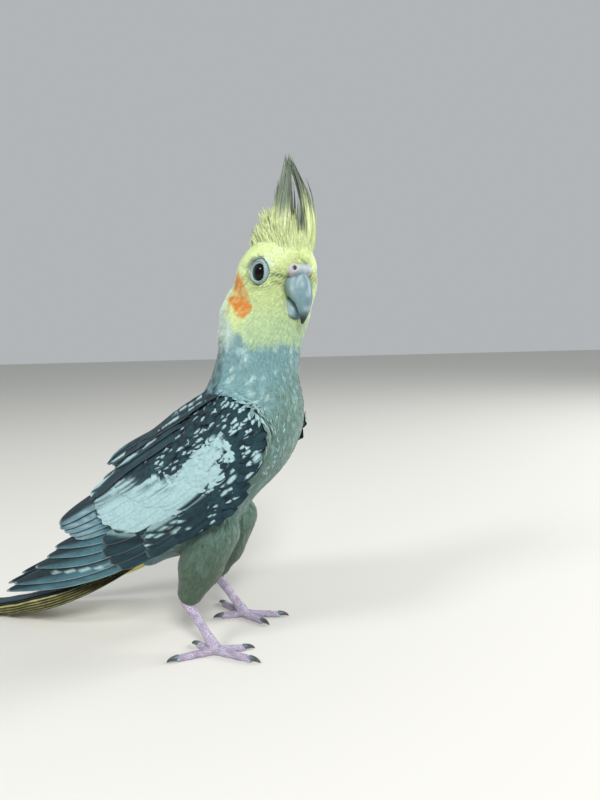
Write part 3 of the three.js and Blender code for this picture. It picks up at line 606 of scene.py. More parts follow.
def face_mark(h, p, streak):
    """Yellow of the face, paler behind and round the eye, with darker lores and chin."""
    x, y, z = np.moveaxis(h, -1, 0)
    yellow = paint(LEMON, smooth(0.0, 1, ripple(p, 3.2, 12)) * 0.5, PALE_LEMON)
    yellow = paint(yellow, smooth(-6, -12, x) * 0.85, RUFF)
    away = h - EYE_PLACE * vec(1, np.sign(y), 1)
    round_eye = smooth(8.2, 6.0, np.linalg.norm(away, axis=-1)) * smooth(-1, 3, away[..., 2])
    yellow = paint(yellow, round_eye * 0.8, RUFF)
    lores = smooth(5.5, 2.0, np.linalg.norm(h - vec(12.4, 8.6 * np.sign(y), 2.2), axis=-1))
    below_eye = smooth(3.4, 1.0, np.abs(z - 0.2 + 0.3 * (x - 6))) * smooth(-3, 1, x) * smooth(15, 11, x)
    below_eye = below_eye * smooth(8, 10, np.abs(y))
    yellow = paint(yellow, smooth(2, -18, z) * smooth(-5, 3, x) * (0.5 + 0.2 * streak), SAGE)
    return paint(yellow, np.maximum(lores, below_eye * 0.55) * (0.35 + 0.65 * streak), LORES)


def cheek_share(h, p, wander):
    """1 on the orange cheek patch, ragged at its rim and notched behind."""
    x, y, z = np.moveaxis(h, -1, 0)
    spread = wander * 0.5 + 0.4 * ripple(p, 0.9, 18)
    cheek = np.maximum.reduce([
        blob(x + spread, z + spread, (-2.6, 1.2), (4.4, 4.9)),
        blob(x + spread, z + spread, (-3.0, -4.6), (5.8, 4.6)),
        blob(x + spread, z, (0.0, -8.8), (3.0, 3.0)),
    ])
    notch = 1 - 0.55 * blob(x, z, (-5.2, -1.9), (2.6, 1.0))
    fine = 0.7 + 0.3 * smooth(-0.6, 0.5, ripple(p * [1, 1, 1.6], 0.8, 15))
    return cheek * notch * smooth(4, 8, np.abs(y)) * fine


def body_mark(p):
    """Colour of the coat at points of the body."""
    h = in_head(p)
    x, z = h[..., 0], h[..., 2]
    ahead, level = p[..., 0], p[..., 2]
    wander = ripple(p, 2.2, 3) * 1.2
    mottle = smooth(0.1, 0.9, ripple(p, 1.2, 5) * ripple(p, 1.7, 6) + 0.4 * ripple(p, 0.7, 7))
    # darker and more olive low on the breast: partly the belly's own olive, partly painted shade on the lower
    # breast
    breast = paint(paint(BREAST, mottle * 0.35, NECK_PALE), smooth(H - 26, H - 58, level), SHADED_OLIVE)
    belly = (ahead + 30) * 0.8 - (level - H + 30) * 0.6
    shade = paint(paint(NECK_GREY, mottle * 0.75, NECK_PALE), smooth(-14, 6, belly + 2 * wander), breast)
    back = smooth(-38, -46, z + wander) * smooth(-16, -30, ahead) * smooth(0, -14, belly)
    shade = paint(shade, back * 0.5, SLATE)
    nape = smooth(-16, -24, z + wander) * smooth(-18, -23, ahead + wander) * smooth(H - 8, H + 6, level)
    shade = paint(shade, nape * (0.6 + 0.3 * ripple(p * [1, 1, 0.4], 0.9, 9)).clip(0, 1), SLATE)
    shade = paint(shade, smooth(-25, -17, z + wander) * smooth(-1, -8, x), RUFF)
    streak = smooth(-0.2, 0.8, ripple(p * [1, 1, 2.2], 0.7, 21))
    chin = z + 22 - 0.85 * np.maximum(0, 4 - x) + wander + 1.6 * (streak - 0.5)
    shade = paint(shade, smooth(-3.0, 1.6, chin), face_mark(h, p, streak))
    return paint(shade, cheek_share(h, p, wander), CHEEK)


# Places where no body feather grows

WING_TOP_EDGE = [(-5, 6), (0, 17), (6, 24), (20, 27.5), (50, 27.5), (80, 26), (95, 22)]
WING_LOWER_EDGE = [(-5, 2), (0, -4), (13, -9.5), (27, -16), (37, -18.5), (95, -18.5)]
SHOULDER_ARC = [(-12, 14), (-8.5, 8.5), (-5.7, 4), (-2.4, 0), (1.3, -2.2), (7, -3.1), (12.7, -2), (17.7, 0.4),
                (22.6, 3.4), (26, 7), (29, 12)]
FRONT_SHIFT = {"right": 0.0, "left": 2.5}
WING_MARGIN = 3.5
LID_REACH = 4.15
LID_OVAL = (0.96, 1.03)
OPENING_OVAL = (1.16, 1.04)
BILL_ROOT = np.array([14.0, 0, -1])
CERE_ROOT = np.array([13.6, 0, 4.2])


def wing_turn(side):
    slope = np.radians(WING_SLOPE[side])
    return np.cos(slope), np.sin(slope)


def wing_uv(p, side):
    """Places on the folded wing: u from the bend to the tip, v from the lower edge to the back."""
    c, s = wing_turn(side)
    x, z = p[..., 0], p[..., 2] - H
    return -c * x - s * z, -s * x + c * z


def front_line(side, v):
    """Where the breast's feathers stop on the folded wing, as a length from the bend."""
    return curve(SHOULDER_ARC, v) - FRONT_SHIFT[side]


def lid_stretch(ahead, up, side):
    """How far the ring of bare skin reaches in its own axes: less in front and less below."""
    return LID_OVAL[0] * (1 + 0.12 * side * ahead), LID_OVAL[1] * (1 + 0.06 * up)


def bare_mask(p):
    """Whether small feathers grow at points: not on the lids, round the bill's root or under the wings."""
    h = in_head(p)
    x, y, z = np.moveaxis(h, -1, 0)
    grows = ~((x > 7) & (np.abs(y) < 5.0) & (z < 3) & (z > -12.5) & (bill_hollow(p) < 1.2))
    grows &= np.linalg.norm((h - CERE_ROOT) / [5.2, 5.0, 3.5], axis=-1) > 0.95
    for name, side in SIDES.items():
        away = (h - EYE_PLACE * [1, side, 1]) @ turned(EYE_WAY * [1, side, 1]).T
        ahead, up, out = np.moveaxis(away, -1, 0)
        round_axis = np.maximum(np.hypot(ahead, up), 1e-6)
        wide, high = lid_stretch(ahead / round_axis, up / round_axis, side)
        grows &= (np.hypot(ahead / wide, up / high) > LID_REACH) | (out < 0)
        u, v = wing_uv(p, name)
        under = (v > curve(WING_LOWER_EDGE, u) + WING_MARGIN) & (v < curve(WING_TOP_EDGE, u) + 2)
        grows &= ~(under & (u > 4) & (u < 100) & (p[..., 1] * side > 1))
    return grows


def coat_flow(p, along):
    """Lie of the feathers: back along the body, and on the head away from the bill."""
    h = in_head(p)
    back = smooth(8, -10, h[..., 0])[..., None]
    head_way = (unit(h - BILL_ROOT) + np.array([-0.25, 0, -1]) * (0.25 + 1.5 * back)) @ HEAD
    return unit(mix(unit(along), unit(head_way), smooth(-26, -12, h[..., 2])[..., None]))


# Body skin and coat

SKIN_ROWS, SKIN_COLUMNS = 150, 104
S_LINE = np.linspace(-CAP, 1 + CAP, SKIN_ROWS)
S_GRID, THETA_GRID = grid(S_LINE, turns(SKIN_COLUMNS))
SURFACE = skin_at(THETA_GRID, S_GRID)
STREW_STEPS = np.array([0.7548776662466927, 0.5698402909980532])
COAT_SEED = 11
COAT_DENSITY = {"trunk": 1.6, "neck": 2.7, "face": 7.2}
COAT_LENGTH = {"neck": 4.6, "breast": 7.2, "face": 2.9, "small": 1.6}
COAT_WIDTH = {"neck": 1.1, "breast": 1.8, "face": 0.58, "small": 0.4}
COAT_LIFT = {"neck": 0.42, "breast": 0.42, "face": 0.3, "small": 0.14}
RUFFLED_LIFT = 1.5
FEATHER_TRIANGLES = 24
MOST_TRIANGLES = 190000
COAT_MARKS = np.array([0, 0.35, 0.72, 1.0])
COAT_WIDTHS = np.array([0.5, 1.0, 0.86, 0.1])
THREE_ACROSS = np.array([-1.0, 0.0, 1.0])


def face_share(p):
    """1 on the face, 0 from the lower neck down."""
    return smooth(-26, -10, in_head(p)[..., 2])


def coat_depth(p):
    return mix(0.65, 0.22, face_share(p))


def skin_share(s):
    return (s + CAP) / (1 + 2 * CAP)


def body_skin():
    depth = coat_depth(SURFACE).ravel()
    points = settle(SURFACE.reshape(-1, 3), -depth, body_distance, 1).reshape(SURFACE.shape)
    bake = vec(THETA_GRID / (2 * np.pi), skin_share(S_GRID)).reshape(-1, 2)
    marks = body_mark(points).reshape(-1, 3)
    make_piece("body_skin", *loft(points), SKIN, "grey_plumage", ("torso", "neck", "head"),
               np.vstack([marks, marks[0], marks[-1]]), {"OFBake": np.vstack([bake, [0.5, 0.0], [0.5, 1.0]])})


def quasi_random(count, seed):
    """Evenly strewn pairs from 0 to 1."""
    return (STREW_STEPS * (np.arange(count)[:, None] + 1) + seed) % 1


def strew(points, u_step, v_line, density, seed):
    """Roots strewn over a sheet of points (rows, columns, 3) that closes round its columns."""
    rows, columns = points.shape[:2]
    right = np.roll(points, -1, 1)[:-1] - points[:-1]
    ahead = points[1:] - points[:-1]
    weight = np.linalg.norm(np.cross(right, ahead), axis=-1) * density[:-1]
    count = int(weight.sum())
    pair = quasi_random(count, seed)
    by_row = np.concatenate([[0], np.cumsum(weight.sum(1))])
    row_at = np.interp(pair[:, 0] * by_row[-1], by_row, np.arange(rows))
    i = np.minimum(row_at.astype(int), rows - 2)
    by_column = np.concatenate([np.zeros((rows - 1, 1)), np.cumsum(weight, 1)], 1)
    by_column /= np.maximum(by_column[:, -1:], 1e-9)
    column_at = np.empty(count)
    for row in np.unique(i):
        chosen = i == row
        column_at[chosen] = np.interp(pair[chosen, 1], by_column[row], np.arange(columns + 1))
    j = np.minimum(column_at.astype(int), columns - 1)
    k = (j + 1) % columns
    f, g = (row_at - i)[:, None], (column_at % 1)[:, None]
    root = mix(mix(points[i, j], points[i, k], g), mix(points[i + 1, j], points[i + 1, k], g), f)
    along = mix(points[i, j] - points[i + 1, j], points[i, k] - points[i + 1, k], g)
    return root, unit(along), vec(u_step * column_at, np.interp(row_at, np.arange(rows), v_line))


def coat(name, slot, root, way, uv, length, width, lift, sink, mark_of, distance, seed, tone=0.07):
    """A piece of small feathers from their roots, lying along the coat and a little over one another."""
    draw = np.random.default_rng(seed)
    n = len(root)
    normal = slope_of(distance, root)
    turn = draw.normal(0, 0.10, n)[:, None]
    way = unit(way - normal * np.sum(way * normal, -1, keepdims=True))
    way = unit(way + np.cross(normal, way) * turn)
    length = length * draw.uniform(0.8, 1.15, n)
    width = width * draw.uniform(0.8, 1.2, n)
    t = COAT_MARKS[None]
    middle = root[:, None] + way[:, None] * (length[:, None] * t)[..., None]
    sink = np.broadcast_to(sink, n)
    height = -sink[:, None] + (sink + lift * draw.uniform(0.75, 1.25, n))[:, None] * t**0.48
    middle = settle(middle, height, distance)
    up = slope_of(distance, middle)
    across = unit(np.cross(up, np.gradient(middle, axis=1)))
    across = unit(across + up * draw.normal(0, 0.08, n)[:, None, None])
    up, across = up[:, :, None], across[:, :, None]
    half = (width[:, None] * COAT_WIDTHS)[..., None] / 2
    arch = 0.12 * half * (1 - THREE_ACROSS**2)
    top = middle[:, :, None] + across * (half * THREE_ACROSS)[..., None] + up * arch[..., None]
    # each feather gets its own random tone and runs from dark at its root to light at its tip: paler tips,
    # and painted shade where the root lies under other feathers
    light = draw.normal(1, tone, n)[:, None, None] * (0.84 + 0.2 * t[..., None])
    marks = np.clip(mark_of(mix(root[:, None], middle, 0.75)) * light, 0, 1)[:, :, None]
    vanes = Vanes()
    vanes.add(top, -up * (arch * 0.9)[..., None], marks, t[..., None], THREE_ACROSS, uv)
    vanes.piece(name, DOWN, slot)


def body_coat():
    neck = smooth(H - 5, H + 30, SURFACE[..., 2])
    density = mix(COAT_DENSITY["trunk"], COAT_DENSITY["neck"], neck)
    density = bare_mask(SURFACE) * mix(density, COAT_DENSITY["face"], face_share(SURFACE))
    root, along, uv = strew(SURFACE, 1 / SKIN_COLUMNS, skin_share(S_LINE), density, 0.31)
    keep = bare_mask(root)
    root, along, uv = root[keep], along[keep], uv[keep]
    face = face_share(root)
    h = in_head(root)
    from_bill = np.linalg.norm(h - BILL_ROOT, axis=-1)
    from_eye = np.linalg.norm(np.abs(h) - EYE_PLACE, axis=-1)
    small = np.maximum(smooth(17, 8, from_bill), smooth(9, 5.5, from_eye))
    breast = smooth(H + 34, H - 10, root[..., 2])

    def sized(at):
        return mix(mix(at["neck"], at["breast"], breast), mix(at["face"], at["small"], small), face)

    ruffled = smooth(-7, -11, h[..., 0]) * smooth(-2, -7, h[..., 2]) * smooth(-21, -16, h[..., 2])
    lift = sized(COAT_LIFT) + RUFFLED_LIFT * ruffled
    arrays = (root, coat_flow(root, along), uv, sized(COAT_LENGTH), sized(COAT_WIDTH), lift, coat_depth(root))
    pieces = {"coat_head": ("yellow_plumage", face > 0.5), "coat_body": ("grey_plumage", face <= 0.5)}
    for name, (slot, chosen) in pieces.items():
        index = np.flatnonzero(chosen)
        parts = int(np.ceil(len(index) * FEATHER_TRIANGLES / MOST_TRIANGLES))
        order = index[np.argsort(root[index][:, 2])]
        for number, part in enumerate(np.array_split(order, parts)):
            chosen_arrays = (a[part] for a in arrays)
            coat(f"{name}_{number + 1}", slot, *chosen_arrays, body_mark, coat_distance, COAT_SEED + number)


# Folded wings: u runs from the bend to the tip, v from the lower edge to the back

WING_HALF_WIDTH = [(-6, 21), (0, 26), (15, 28.2), (40, 29), (60, 28), (80, 26), (100, 22), (120, 16.5),
                   (140, 11), (155, 7.4), (166, 5)]
WING_WRAP = [(0, 0.42), (22, 0.72), (50, 1.02), (88, 1.2), (120, 1.2)]
WRAP_SPAN = 28
LOWER_TUCK = 0.15
NEAREST_MIDDLE = 1.1
TIP_CROWDING = 1.6
STRIP_PATCH = (0.025, 0.47)
PATCH_LOWER = [(1, 3), (7, 6.5), (13, 6), (19, -2), (42, -7), (57, -8.5), (67, -5.5), (75, -1), (82, 5),
               (86, 12)]
PATCH_UPPER = [(1, 10), (7, 11.5), (19, 9.5), (32, 8), (43, 6.5), (49, 9.5), (57, 11), (63, 13.5), (72, 15.3),
               (81, 14.8), (86, 12)]


def wing_face(side, u, v):
    c, s = wing_turn(side)
    wrap = np.where(v > 0, curve(WING_WRAP, u) * (v / WRAP_SPAN) ** 2, LOWER_TUCK * (v / 20) ** 2)
    reach = np.maximum(curve(WING_HALF_WIDTH, u) * (1 - wrap), 0)
    return vec(-c * u - s * v, SIDES[side] * np.hypot(reach, NEAREST_MIDDLE), H - s * u + c * v)


def wing_normal(side, u, v):
    step = 0.5
    along_u = wing_face(side, u + step, v) - wing_face(side, u - step, v)
    along_v = wing_face(side, u, v + step) - wing_face(side, u, v - step)
    return -SIDES[side] * unit(np.cross(along_v, along_u))


def wing_vanes(vanes, side, centre, half, height, thick, tilt, mark_of, columns, t, arch, strip=None):
    """Feathers of one wing: centre (n, rows, 2) in u and v, half and height (n, rows)."""
    ahead = unit(np.gradient(centre, axis=1))
    reach = half[..., None] * columns
    u = centre[..., 0, None] - ahead[..., 1, None] * reach
    v = centre[..., 1, None] + ahead[..., 0, None] * reach
    level = height[..., None] - tilt * reach + arch * half[..., None] * (1 - columns**2)
    normal = wing_normal(side, u, v)
    top = wing_face(side, u, v) + normal * level[..., None]
    t, b = np.broadcast_to(t[:, None], u.shape), np.broadcast_to(columns, u.shape)
    if strip is None:
        root = centre[:, 0]
        place = (vec((root[:, 0] + 20) / 200, (root[:, 1] + 25) / 60),)
    else:
        place = (np.array([[strip, 0.5]]), STRIP_PATCH)
    vanes.add(top, -normal * thick, mark_of(u, v, t, b), t, b, *place)


def towards_tip(rows):
    return 1 - (1 - np.linspace(0, 1, rows)) ** TIP_CROWDING


def pale_share(u, v):
    """1 inside the wing's pale patch."""
    inside = curve(PATCH_UPPER, u) - v
    pale = smooth(-0.5, 0.5, v - curve(PATCH_LOWER, u)) * smooth(-0.5, 0.5, inside)
    streak = smooth(-0.2, 0.35, ripple(vec(u * 0.3, v * 3.0, 0), 1.0, 34))
    dark = streak * smooth(7.5, 1.5, inside) * smooth(34, 42, u)
    return pale * smooth(12, 16, u) * smooth(87, 85, u) * (1 - 0.9 * dark)


def between(first, last, count, bulge=(0, 0)):
    t = np.linspace(0, 1, count)[:, None]
    return np.array(first) + (np.array(last, float) - first) * t + np.array(bulge) * (4 * t * (1 - t))


def spot_at(u, v, spots):
    """1 on any of the elongated spots (u, v, half length, half width, slant in degrees)."""
    total = np.zeros(u.shape)
    for at_u, at_v, long, wide, slant in spots:
        c, s = np.cos(np.radians(slant)), np.sin(np.radians(slant))
        along, across = (u - at_u) * c + (v - at_v) * s, (v - at_v) * c - (u - at_u) * s
        total = np.maximum(total, smooth(1.25, 0.8, np.hypot(along / long, across / wide)))
    return total


# Flight feathers

STACK = 0.85
FLIGHT_TILT = 0.22
FLIGHT_THICK = 0.3
FLIGHT_ARCH = 0.03
EXIT_U = 92
LOWEST_FLIGHT = -3.5
FLIGHT_GROUPS = [
    {"tips": [[166, -0.4], [158, 0.8], [138, 2.8], [127, 4.6], [119, 7]],
     "roots": between([46, -13], [36, -4], 5), "exits": [-12.6, -9, -4.6, -0.8, 2.4], "half": 5.2,
     "shape": pointed_shape},
    {"tips": between([103, 7], [111, 14], 4), "roots": between([40, 0], [34, 12], 4),
     "exits": [5, 7.8, 10.6, 13.4], "half": 5.2, "shape": blade_shape},
    {"tips": [[111, 15.5], [92, 21], [80, 24.5]], "roots": [[40, 16], [38, 19], [36, 22.5]],
     "exits": [16.6, 20.2, 24], "half": 5, "shape": blade_shape},
]
FLIGHT_COLUMNS = np.array([-1, -0.95, -0.88, -0.7, -0.5, -0.25, -0.05, 0, 0.05, 0.3, 0.6, 0.85, 0.95, 1.0])
FLIGHT_ROWS = 50
BARRED_FLIGHTS = range(5, 10)
NOTCHED_FLIGHT = 1
PALE_FLIGHTS = {10: (70, 78, 0.1, 0.5, 1), 11: (64, 76, 0, 0.6, 0.8)}
NOTCHES = [(90, -13.0, 2.2, 0.8, 8), (98, -12.0, 3.0, 0.9, 8), (107, -9.8, 3.4, 0.8, 10),
           (117, -6.9, 3.0, 0.7, 12), (126, -4.6, 2.6, 0.6, 12)]


def flight_mark(index):
    """Slate blue with pale edges, darkened towards the shaft and over the inner vane as painted shadow of the
    next feather, which overlaps it; some feathers have the patch's pale parts.
    """

    def mark_of(u, v, t, b):
        wander = ripple(vec(u, v * 3, 0), 2.4, 90 + index)
        barbs = np.sin(u * 5.2 + np.abs(b) * 7) * 0.5 + 0.5
        shade = paint(FLIGHT_BLUE, 0.25 * barbs + 0.2 * wander, SLATE)
        # painted shadow: darker towards the shaft, where the next feather lies over this one
        shade = paint(shade, smooth(-0.75, -0.05, b) * 0.85, SLATE_DARK)
        if index in BARRED_FLIGHTS:
            streak = smooth(-0.2, -0.6, b) * smooth(-0.98, -0.85, b) * (0.35 + 0.65 * barbs)
            shade = paint(shade, streak * 0.6 * smooth(82, 88, u) * smooth(110, 104, u), FLIGHT_PALE)
        if index in PALE_FLIGHTS:
            start, end, shift, rim, share = PALE_FLIGHTS[index]
            pale = smooth(start, end, u + 2 * wander) * smooth(0.1, rim, np.abs(b + shift))
            shade = paint(shade, pale * share, PATCH)
        edge = smooth(-0.93, -0.99, b) + 0.5 * smooth(0.93, 0.99, b)
        shade = paint(shade, np.clip(edge * 0.5 + smooth(0.975, 0.995, t) * 0.45, 0, 1), CREAM)
        if index == NOTCHED_FLIGHT:
            shade = paint(shade, spot_at(u, v, NOTCHES), PATCH)
        return paint(shade, smooth(0.07, 0.0, np.abs(b)) * 0.6, SLATE_DARK * 0.5)

    return mark_of


def flight_middle(tip, root, exit_v, u):
    knots = [tuple(root), (min(EXIT_U, (root[0] + tip[0]) / 2 + 12), exit_v), tuple(tip)]
    return curve(knots, u)


def flight_feathers(side, vanes):
    lines, groups = [], []
    for group in FLIGHT_GROUPS:
        lines += list(zip(group["tips"], group["roots"], group["exits"]))
        groups += [group] * len(group["exits"])
    t = 1 - (1 - np.linspace(0, 1, FLIGHT_ROWS)) ** 1.2
    for index, (line, group) in enumerate(zip(lines, groups)):
        tip, root, _ = line
        u = mix(root[0], tip[0], t)
        height = np.full(FLIGHT_ROWS, LOWEST_FLIGHT)
        for i in range(1, index + 1):
            apart = flight_middle(*lines[i], u) - flight_middle(*lines[i - 1], u)
            height = height + np.maximum(0, STACK - FLIGHT_TILT * apart)
        centre, half = vec(u, flight_middle(*line, u)), group["half"] * group["shape"](t)
        wing_vanes(vanes, side, centre[None], half[None], height[None], FLIGHT_THICK, FLIGHT_TILT,
                   flight_mark(index), FLIGHT_COLUMNS, t, FLIGHT_ARCH, 0.04 + 0.07 * index)


# Coverts

COVERT_COLUMNS = np.array([-1, -0.92, -0.7, -0.35, 0, 0.35, 0.7, 0.92, 1.0])
COVERT_TILT = 0.09
COVERT_THICK = 0.16
COVERT_ARCH = 0.04
COVERT_POINTS = 14
ROOT_GAP = 0.8
EDGE_SPOTS = [
    (5, -3.8, 2.0, 1.2, -15), (18, -6, 2.4, 0.8, -15), (23.5, -9, 1.7, 0.6, -15), (12, -8, 1.2, 0.5, -15),
    (47, -10, 2.4, 0.5, 20), (50, -12.6, 2.2, 0.5, -10), (54, -9.6, 2.6, 0.5, 8), (58, -11.4, 2.2, 0.4, 0),
    (62, -9.6, 2.4, 0.5, 10), (66, -12.4, 1.6, 0.4, 12), (45, -14.2, 1.4, 0.4, 10),
]


def covert_mark(seed, streaks=None, edge=0.0, dark=0.0, ragged=1.0):
    """Markings of coverts: dark slate or, inside the patch, whitish; streaks has a size for each feather."""

    def mark_of(u, v, t, b):
        draw = np.random.default_rng(seed)
        each = (u.shape[0], 1, 1)
        shift_u, shift_v, tone = (draw.normal(0, size, each) for size in (1.6 * ragged, 0.6 * ragged, 0.16))
        share = pale_share(u + shift_u, v + shift_v) * (1 - dark)
        wander = ripple(vec(u, v * 2.5, 0), 1.6, seed)
        slate = paint(SLATE, np.clip(0.3 + 0.3 * wander + tone, 0, 1), SLATE_DARK)
        slate = paint(slate, smooth(0.3, 0.95, np.abs(b)) * 0.3, SLATE_DARK)
        pale = paint(PATCH, smooth(-0.2, 1, wander) * 0.3, PATCH_SHADE)
        pale = paint(pale, smooth(0.8, 0.98, np.abs(b)) * 0.18, PATCH_SHADE)
        shade = paint(slate, share, pale)
        if streaks is not None:
            size = streaks[:, None, None]
            off = draw.uniform(-0.3, 0.3, each)
            reach = np.hypot((b - off) / (0.17 + 0.34 * size), (t - 0.7) / (0.13 + 0.2 * size))
            streak = smooth(1.15, 0.8, reach + 0.18 * np.sin(b * 9 + t * 23 + shift_u * 7))
            shade = paint(shade, streak * (size > 0.05) * (1 - share), PATCH)
        shade = paint(shade, spot_at(u, v, EDGE_SPOTS) * (1 - share) * (dark < 1), PATCH)
        rim = np.maximum(smooth(0.9, 0.98, np.abs(b)), smooth(0.97, 0.99, t)) * edge
        return paint(shade, rim * (1 - share), CREAM)

    return mark_of


def spotted(count, share, seed, least=0.4, most=0.95):
    draw = np.random.default_rng(seed)
    return (draw.uniform(size=count) < share) * draw.uniform(least, most, count)


# Rows of long coverts: tips, roots, half width, heights at tip and root, markings, outline and sag
LOWER_ROWS = [
    ([(85, -15.4), (88, -11.4), (88.5, -7.2), (86, -2.6)], [(50, -14.5), (50, -11.5), (49, -8.5), (48, -4.5)],
     3.5, 0.0, -2.6, covert_mark(2, edge=0.2, dark=0.5)),
    (between([70, -16.6], [62, -6.8], 7), between([40, -13.5], [36, -5.5], 7), 2.8, 0.7, -2.4,
     covert_mark(3, edge=0.12, dark=0.3)),
    (between([54, -16.8], [43, -6.4], 8), between([28, -12.5], [24, -4.5], 8), 2.4, 1.0, -2.0,
     covert_mark(8, dark=0.3)),
    (between([63, -9], [84, 13], 14, [3, 0]), between([33, -5], [51, 14], 14), 3.6, 0.5, -2.6,
     covert_mark(4)),
    (between([44, -6.5], [71, 14], 14, [2, 1]), between([21, -2], [47, 17], 14), 3.2, 0.9, -2.0,
     covert_mark(5)),
    (between([52, 18], [86, 14.6], 9, [0, 1.6]), between([30, 19.5], [58, 18.6], 9), 2.6, 1.5, -1.4,
     covert_mark(7, edge=0.1, dark=1), pointed_shape, 0.6),
]
UPPER_ROWS = [
    (between([46, 21.6], [70, 20.8], 8), between([28, 22.6], [50, 22], 8), 2.2, 1.8, -1.0,
     covert_mark(10, spotted(8, 0.3, 5), edge=0.12, dark=1), pointed_shape, 0.4),
    (between([40, 24.2], [77, 24.0], 10), between([22, 24.4], [56, 24.4], 10), 2.2, 2.2, -0.8,
     covert_mark(9, spotted(10, 0.35, 6), edge=0.2, dark=1), pointed_shape, 0.3),
    (between([50, 27.2], [80, 26.4], 9), between([32, 26.6], [58, 27], 9), 2.0, 2.4, -0.6,
     covert_mark(12, edge=0.15, dark=1), pointed_shape),
    (between([14, 24.2], [54, 25.0], 17), between([4, 24.4], [42, 25], 17), 1.7, 2.4, -0.6,
     covert_mark(13, spotted(17, 0.75, 7, 0.5, 1.1), dark=1)),
    (between([17, 26.6], [54, 27.4], 16), between([7, 26.2], [42, 27], 16), 1.7, 2.4, -0.6,
     covert_mark(14, spotted(16, 0.65, 8, 0.5, 1.1), dark=1)),
]


def covert_row(side, vanes, tips, roots, half, height, root_height, mark_of, shape=blade_shape, sag=0.0):
    """A row of long coverts from roots to tips, each a little different."""
    tips, roots = np.array(tips, float), np.array(roots, float)
    n = len(tips)
    tips = tips + RNG.normal(0, 1, (n, 2)) * [0.7, 0.2]
    roots[:, 0] = np.maximum(roots[:, 0], front_line(side, roots[:, 1]) + ROOT_GAP)
    t = towards_tip(COVERT_POINTS)
    centre = mix(roots[:, None], tips[:, None], t[None, :, None])
    centre[..., 1] += (sag * (t * (1 - t)) * 4)[None]
    widths = half * RNG.uniform(0.92, 1.08, n)[:, None] * shape(t)[None]
    level = mix(root_height, height, smooth(0, 0.35, t))[None] + RNG.uniform(0, 0.12, n)[:, None]
    wing_vanes(vanes, side, centre, widths, level, COVERT_THICK, COVERT_TILT, mark_of, COVERT_COLUMNS, t,
               COVERT_ARCH)


FLECKS = [(7, 11), (10, 12.5), (16, 14), (22, 12), (28, 13), (29, 19), (35, 17), (41, 17), (44, 15), (47, 14),
          (52, 18), (49, 21), (43, 13), (13, 18), (20, 19), (24, 22.5), (38, 21), (33, 14), (18, 10),
          (46, 19.5)]
DARK_BLOTS = [(9, 5), (3, 2), (14, 3), (12, 1)]
LESSER_COLUMNS = np.array([-1, -0.75, -0.45, -0.15, 0.15, 0.45, 0.75, 1.0])
LESSER_END = 54
LESSER_SPAN = 56
LESSER_ROW_GAP = 2.3
LESSER_GAP = 2.1
LESSER_TILT = 0.06
LESSER_THICK = 0.1
LESSER_ARCH = 0.05
LESSER_POINTS = 8


def lesser_coverts(side, vanes):
    """Small overlapping feathers over the bend and the upper arm, front rows over those behind."""
    feathers = []
    for row in range(int(LESSER_SPAN / LESSER_ROW_GAP)):
        u = LESSER_END - LESSER_ROW_GAP * row
        low, high = float(curve(WING_LOWER_EDGE, u)), float(curve(WING_TOP_EDGE, max(u, 8)))
        count = max(3, int((high - low) / LESSER_GAP))
        slant = float(mix(0.34, 0.10, smooth(5, 35, u)))
        for k in range(count):
            v = low + 1.2 + (high - low - 1.8) * (k + 0.5 * (row % 2)) / count + RNG.normal(0, 0.4)
            length = RNG.uniform(6.2, 8.6)
            turn = slant + RNG.normal(0, 0.12)
            tip = u + RNG.normal(0, 0.8)
            half = RNG.uniform(1.25, 1.75)
            feathers.append((tip, v, tip - length, v + length * turn, half, 0.75 + 0.038 * row))
    feathers = np.array(feathers)
    feathers = feathers[feathers[:, 0] > front_line(side, feathers[:, 1]) + 3.4]
    tips, roots, halves, heights = feathers[:, :2], feathers[:, 2:4], feathers[:, 4], feathers[:, 5]
    roots[:, 0] = np.maximum(roots[:, 0], front_line(side, roots[:, 1]) + ROOT_GAP)
    shown = mix(roots, tips, 0.74)

    def away_from(place):
        return np.hypot(shown[:, 0] - place[0], shown[:, 1] - place[1])

    in_bend = smooth(14, 7, shown[:, 0]) * smooth(-7, -4, shown[:, 1])
    near_blot = np.min([away_from(place) for place in DARK_BLOTS], axis=0) < 2.6
    pale = (RNG.uniform(size=len(tips)) < mix(0.34, 0.6, in_bend)) & ~near_blot
    streaks = pale * mix(RNG.uniform(0.1, 0.5, len(tips)), RNG.uniform(0.3, 1.1, len(tips)), in_bend)
    for place in FLECKS:
        streaks[np.argmin(away_from(place))] = 0.7
    t = towards_tip(LESSER_POINTS)
    centre = mix(roots[:, None], tips[:, None], t[None, :, None])
    level = mix(-0.7, heights[:, None], smooth(0, 0.6, t)[None])
    wing_vanes(vanes, side, centre, halves[:, None] * blade_shape(t)[None], level, LESSER_THICK, LESSER_TILT,
               covert_mark(17, streaks, ragged=1.5), LESSER_COLUMNS, t, LESSER_ARCH)


# Feathers of the breast over the front edge of the wing, and the wing's flesh

SLAB_DEPTH = 7
COVERT_HEIGHT = 1.9
SHOULDER_BLEND = 6.0
SHOULDER_COUNT = 1900
SHOULDER_LIFT = 0.5
SHOULDER_SINK = 0.5
SHOULDER_SPAN = (-10, 29)
SHOULDER_AHEAD = (-0.4, 13)
SHOULDER_LEVELS = np.arange(36, 0, -0.75)
SHOULDER_PLACING, SHOULDER_COAT = 19, 23
SLAB_BLEND = 2.5
CORE_END = [(0, 86), (0.3, 82), (0.55, 76), (0.8, 82), (1, 70)]
CORE_DEPTH = [(-5, 3), (10, 8), (60, 8), (88, 6)]
CORE_GRID = (44, 30)
CORE_SINK = 1.4
CORE_LEAST = 1.5


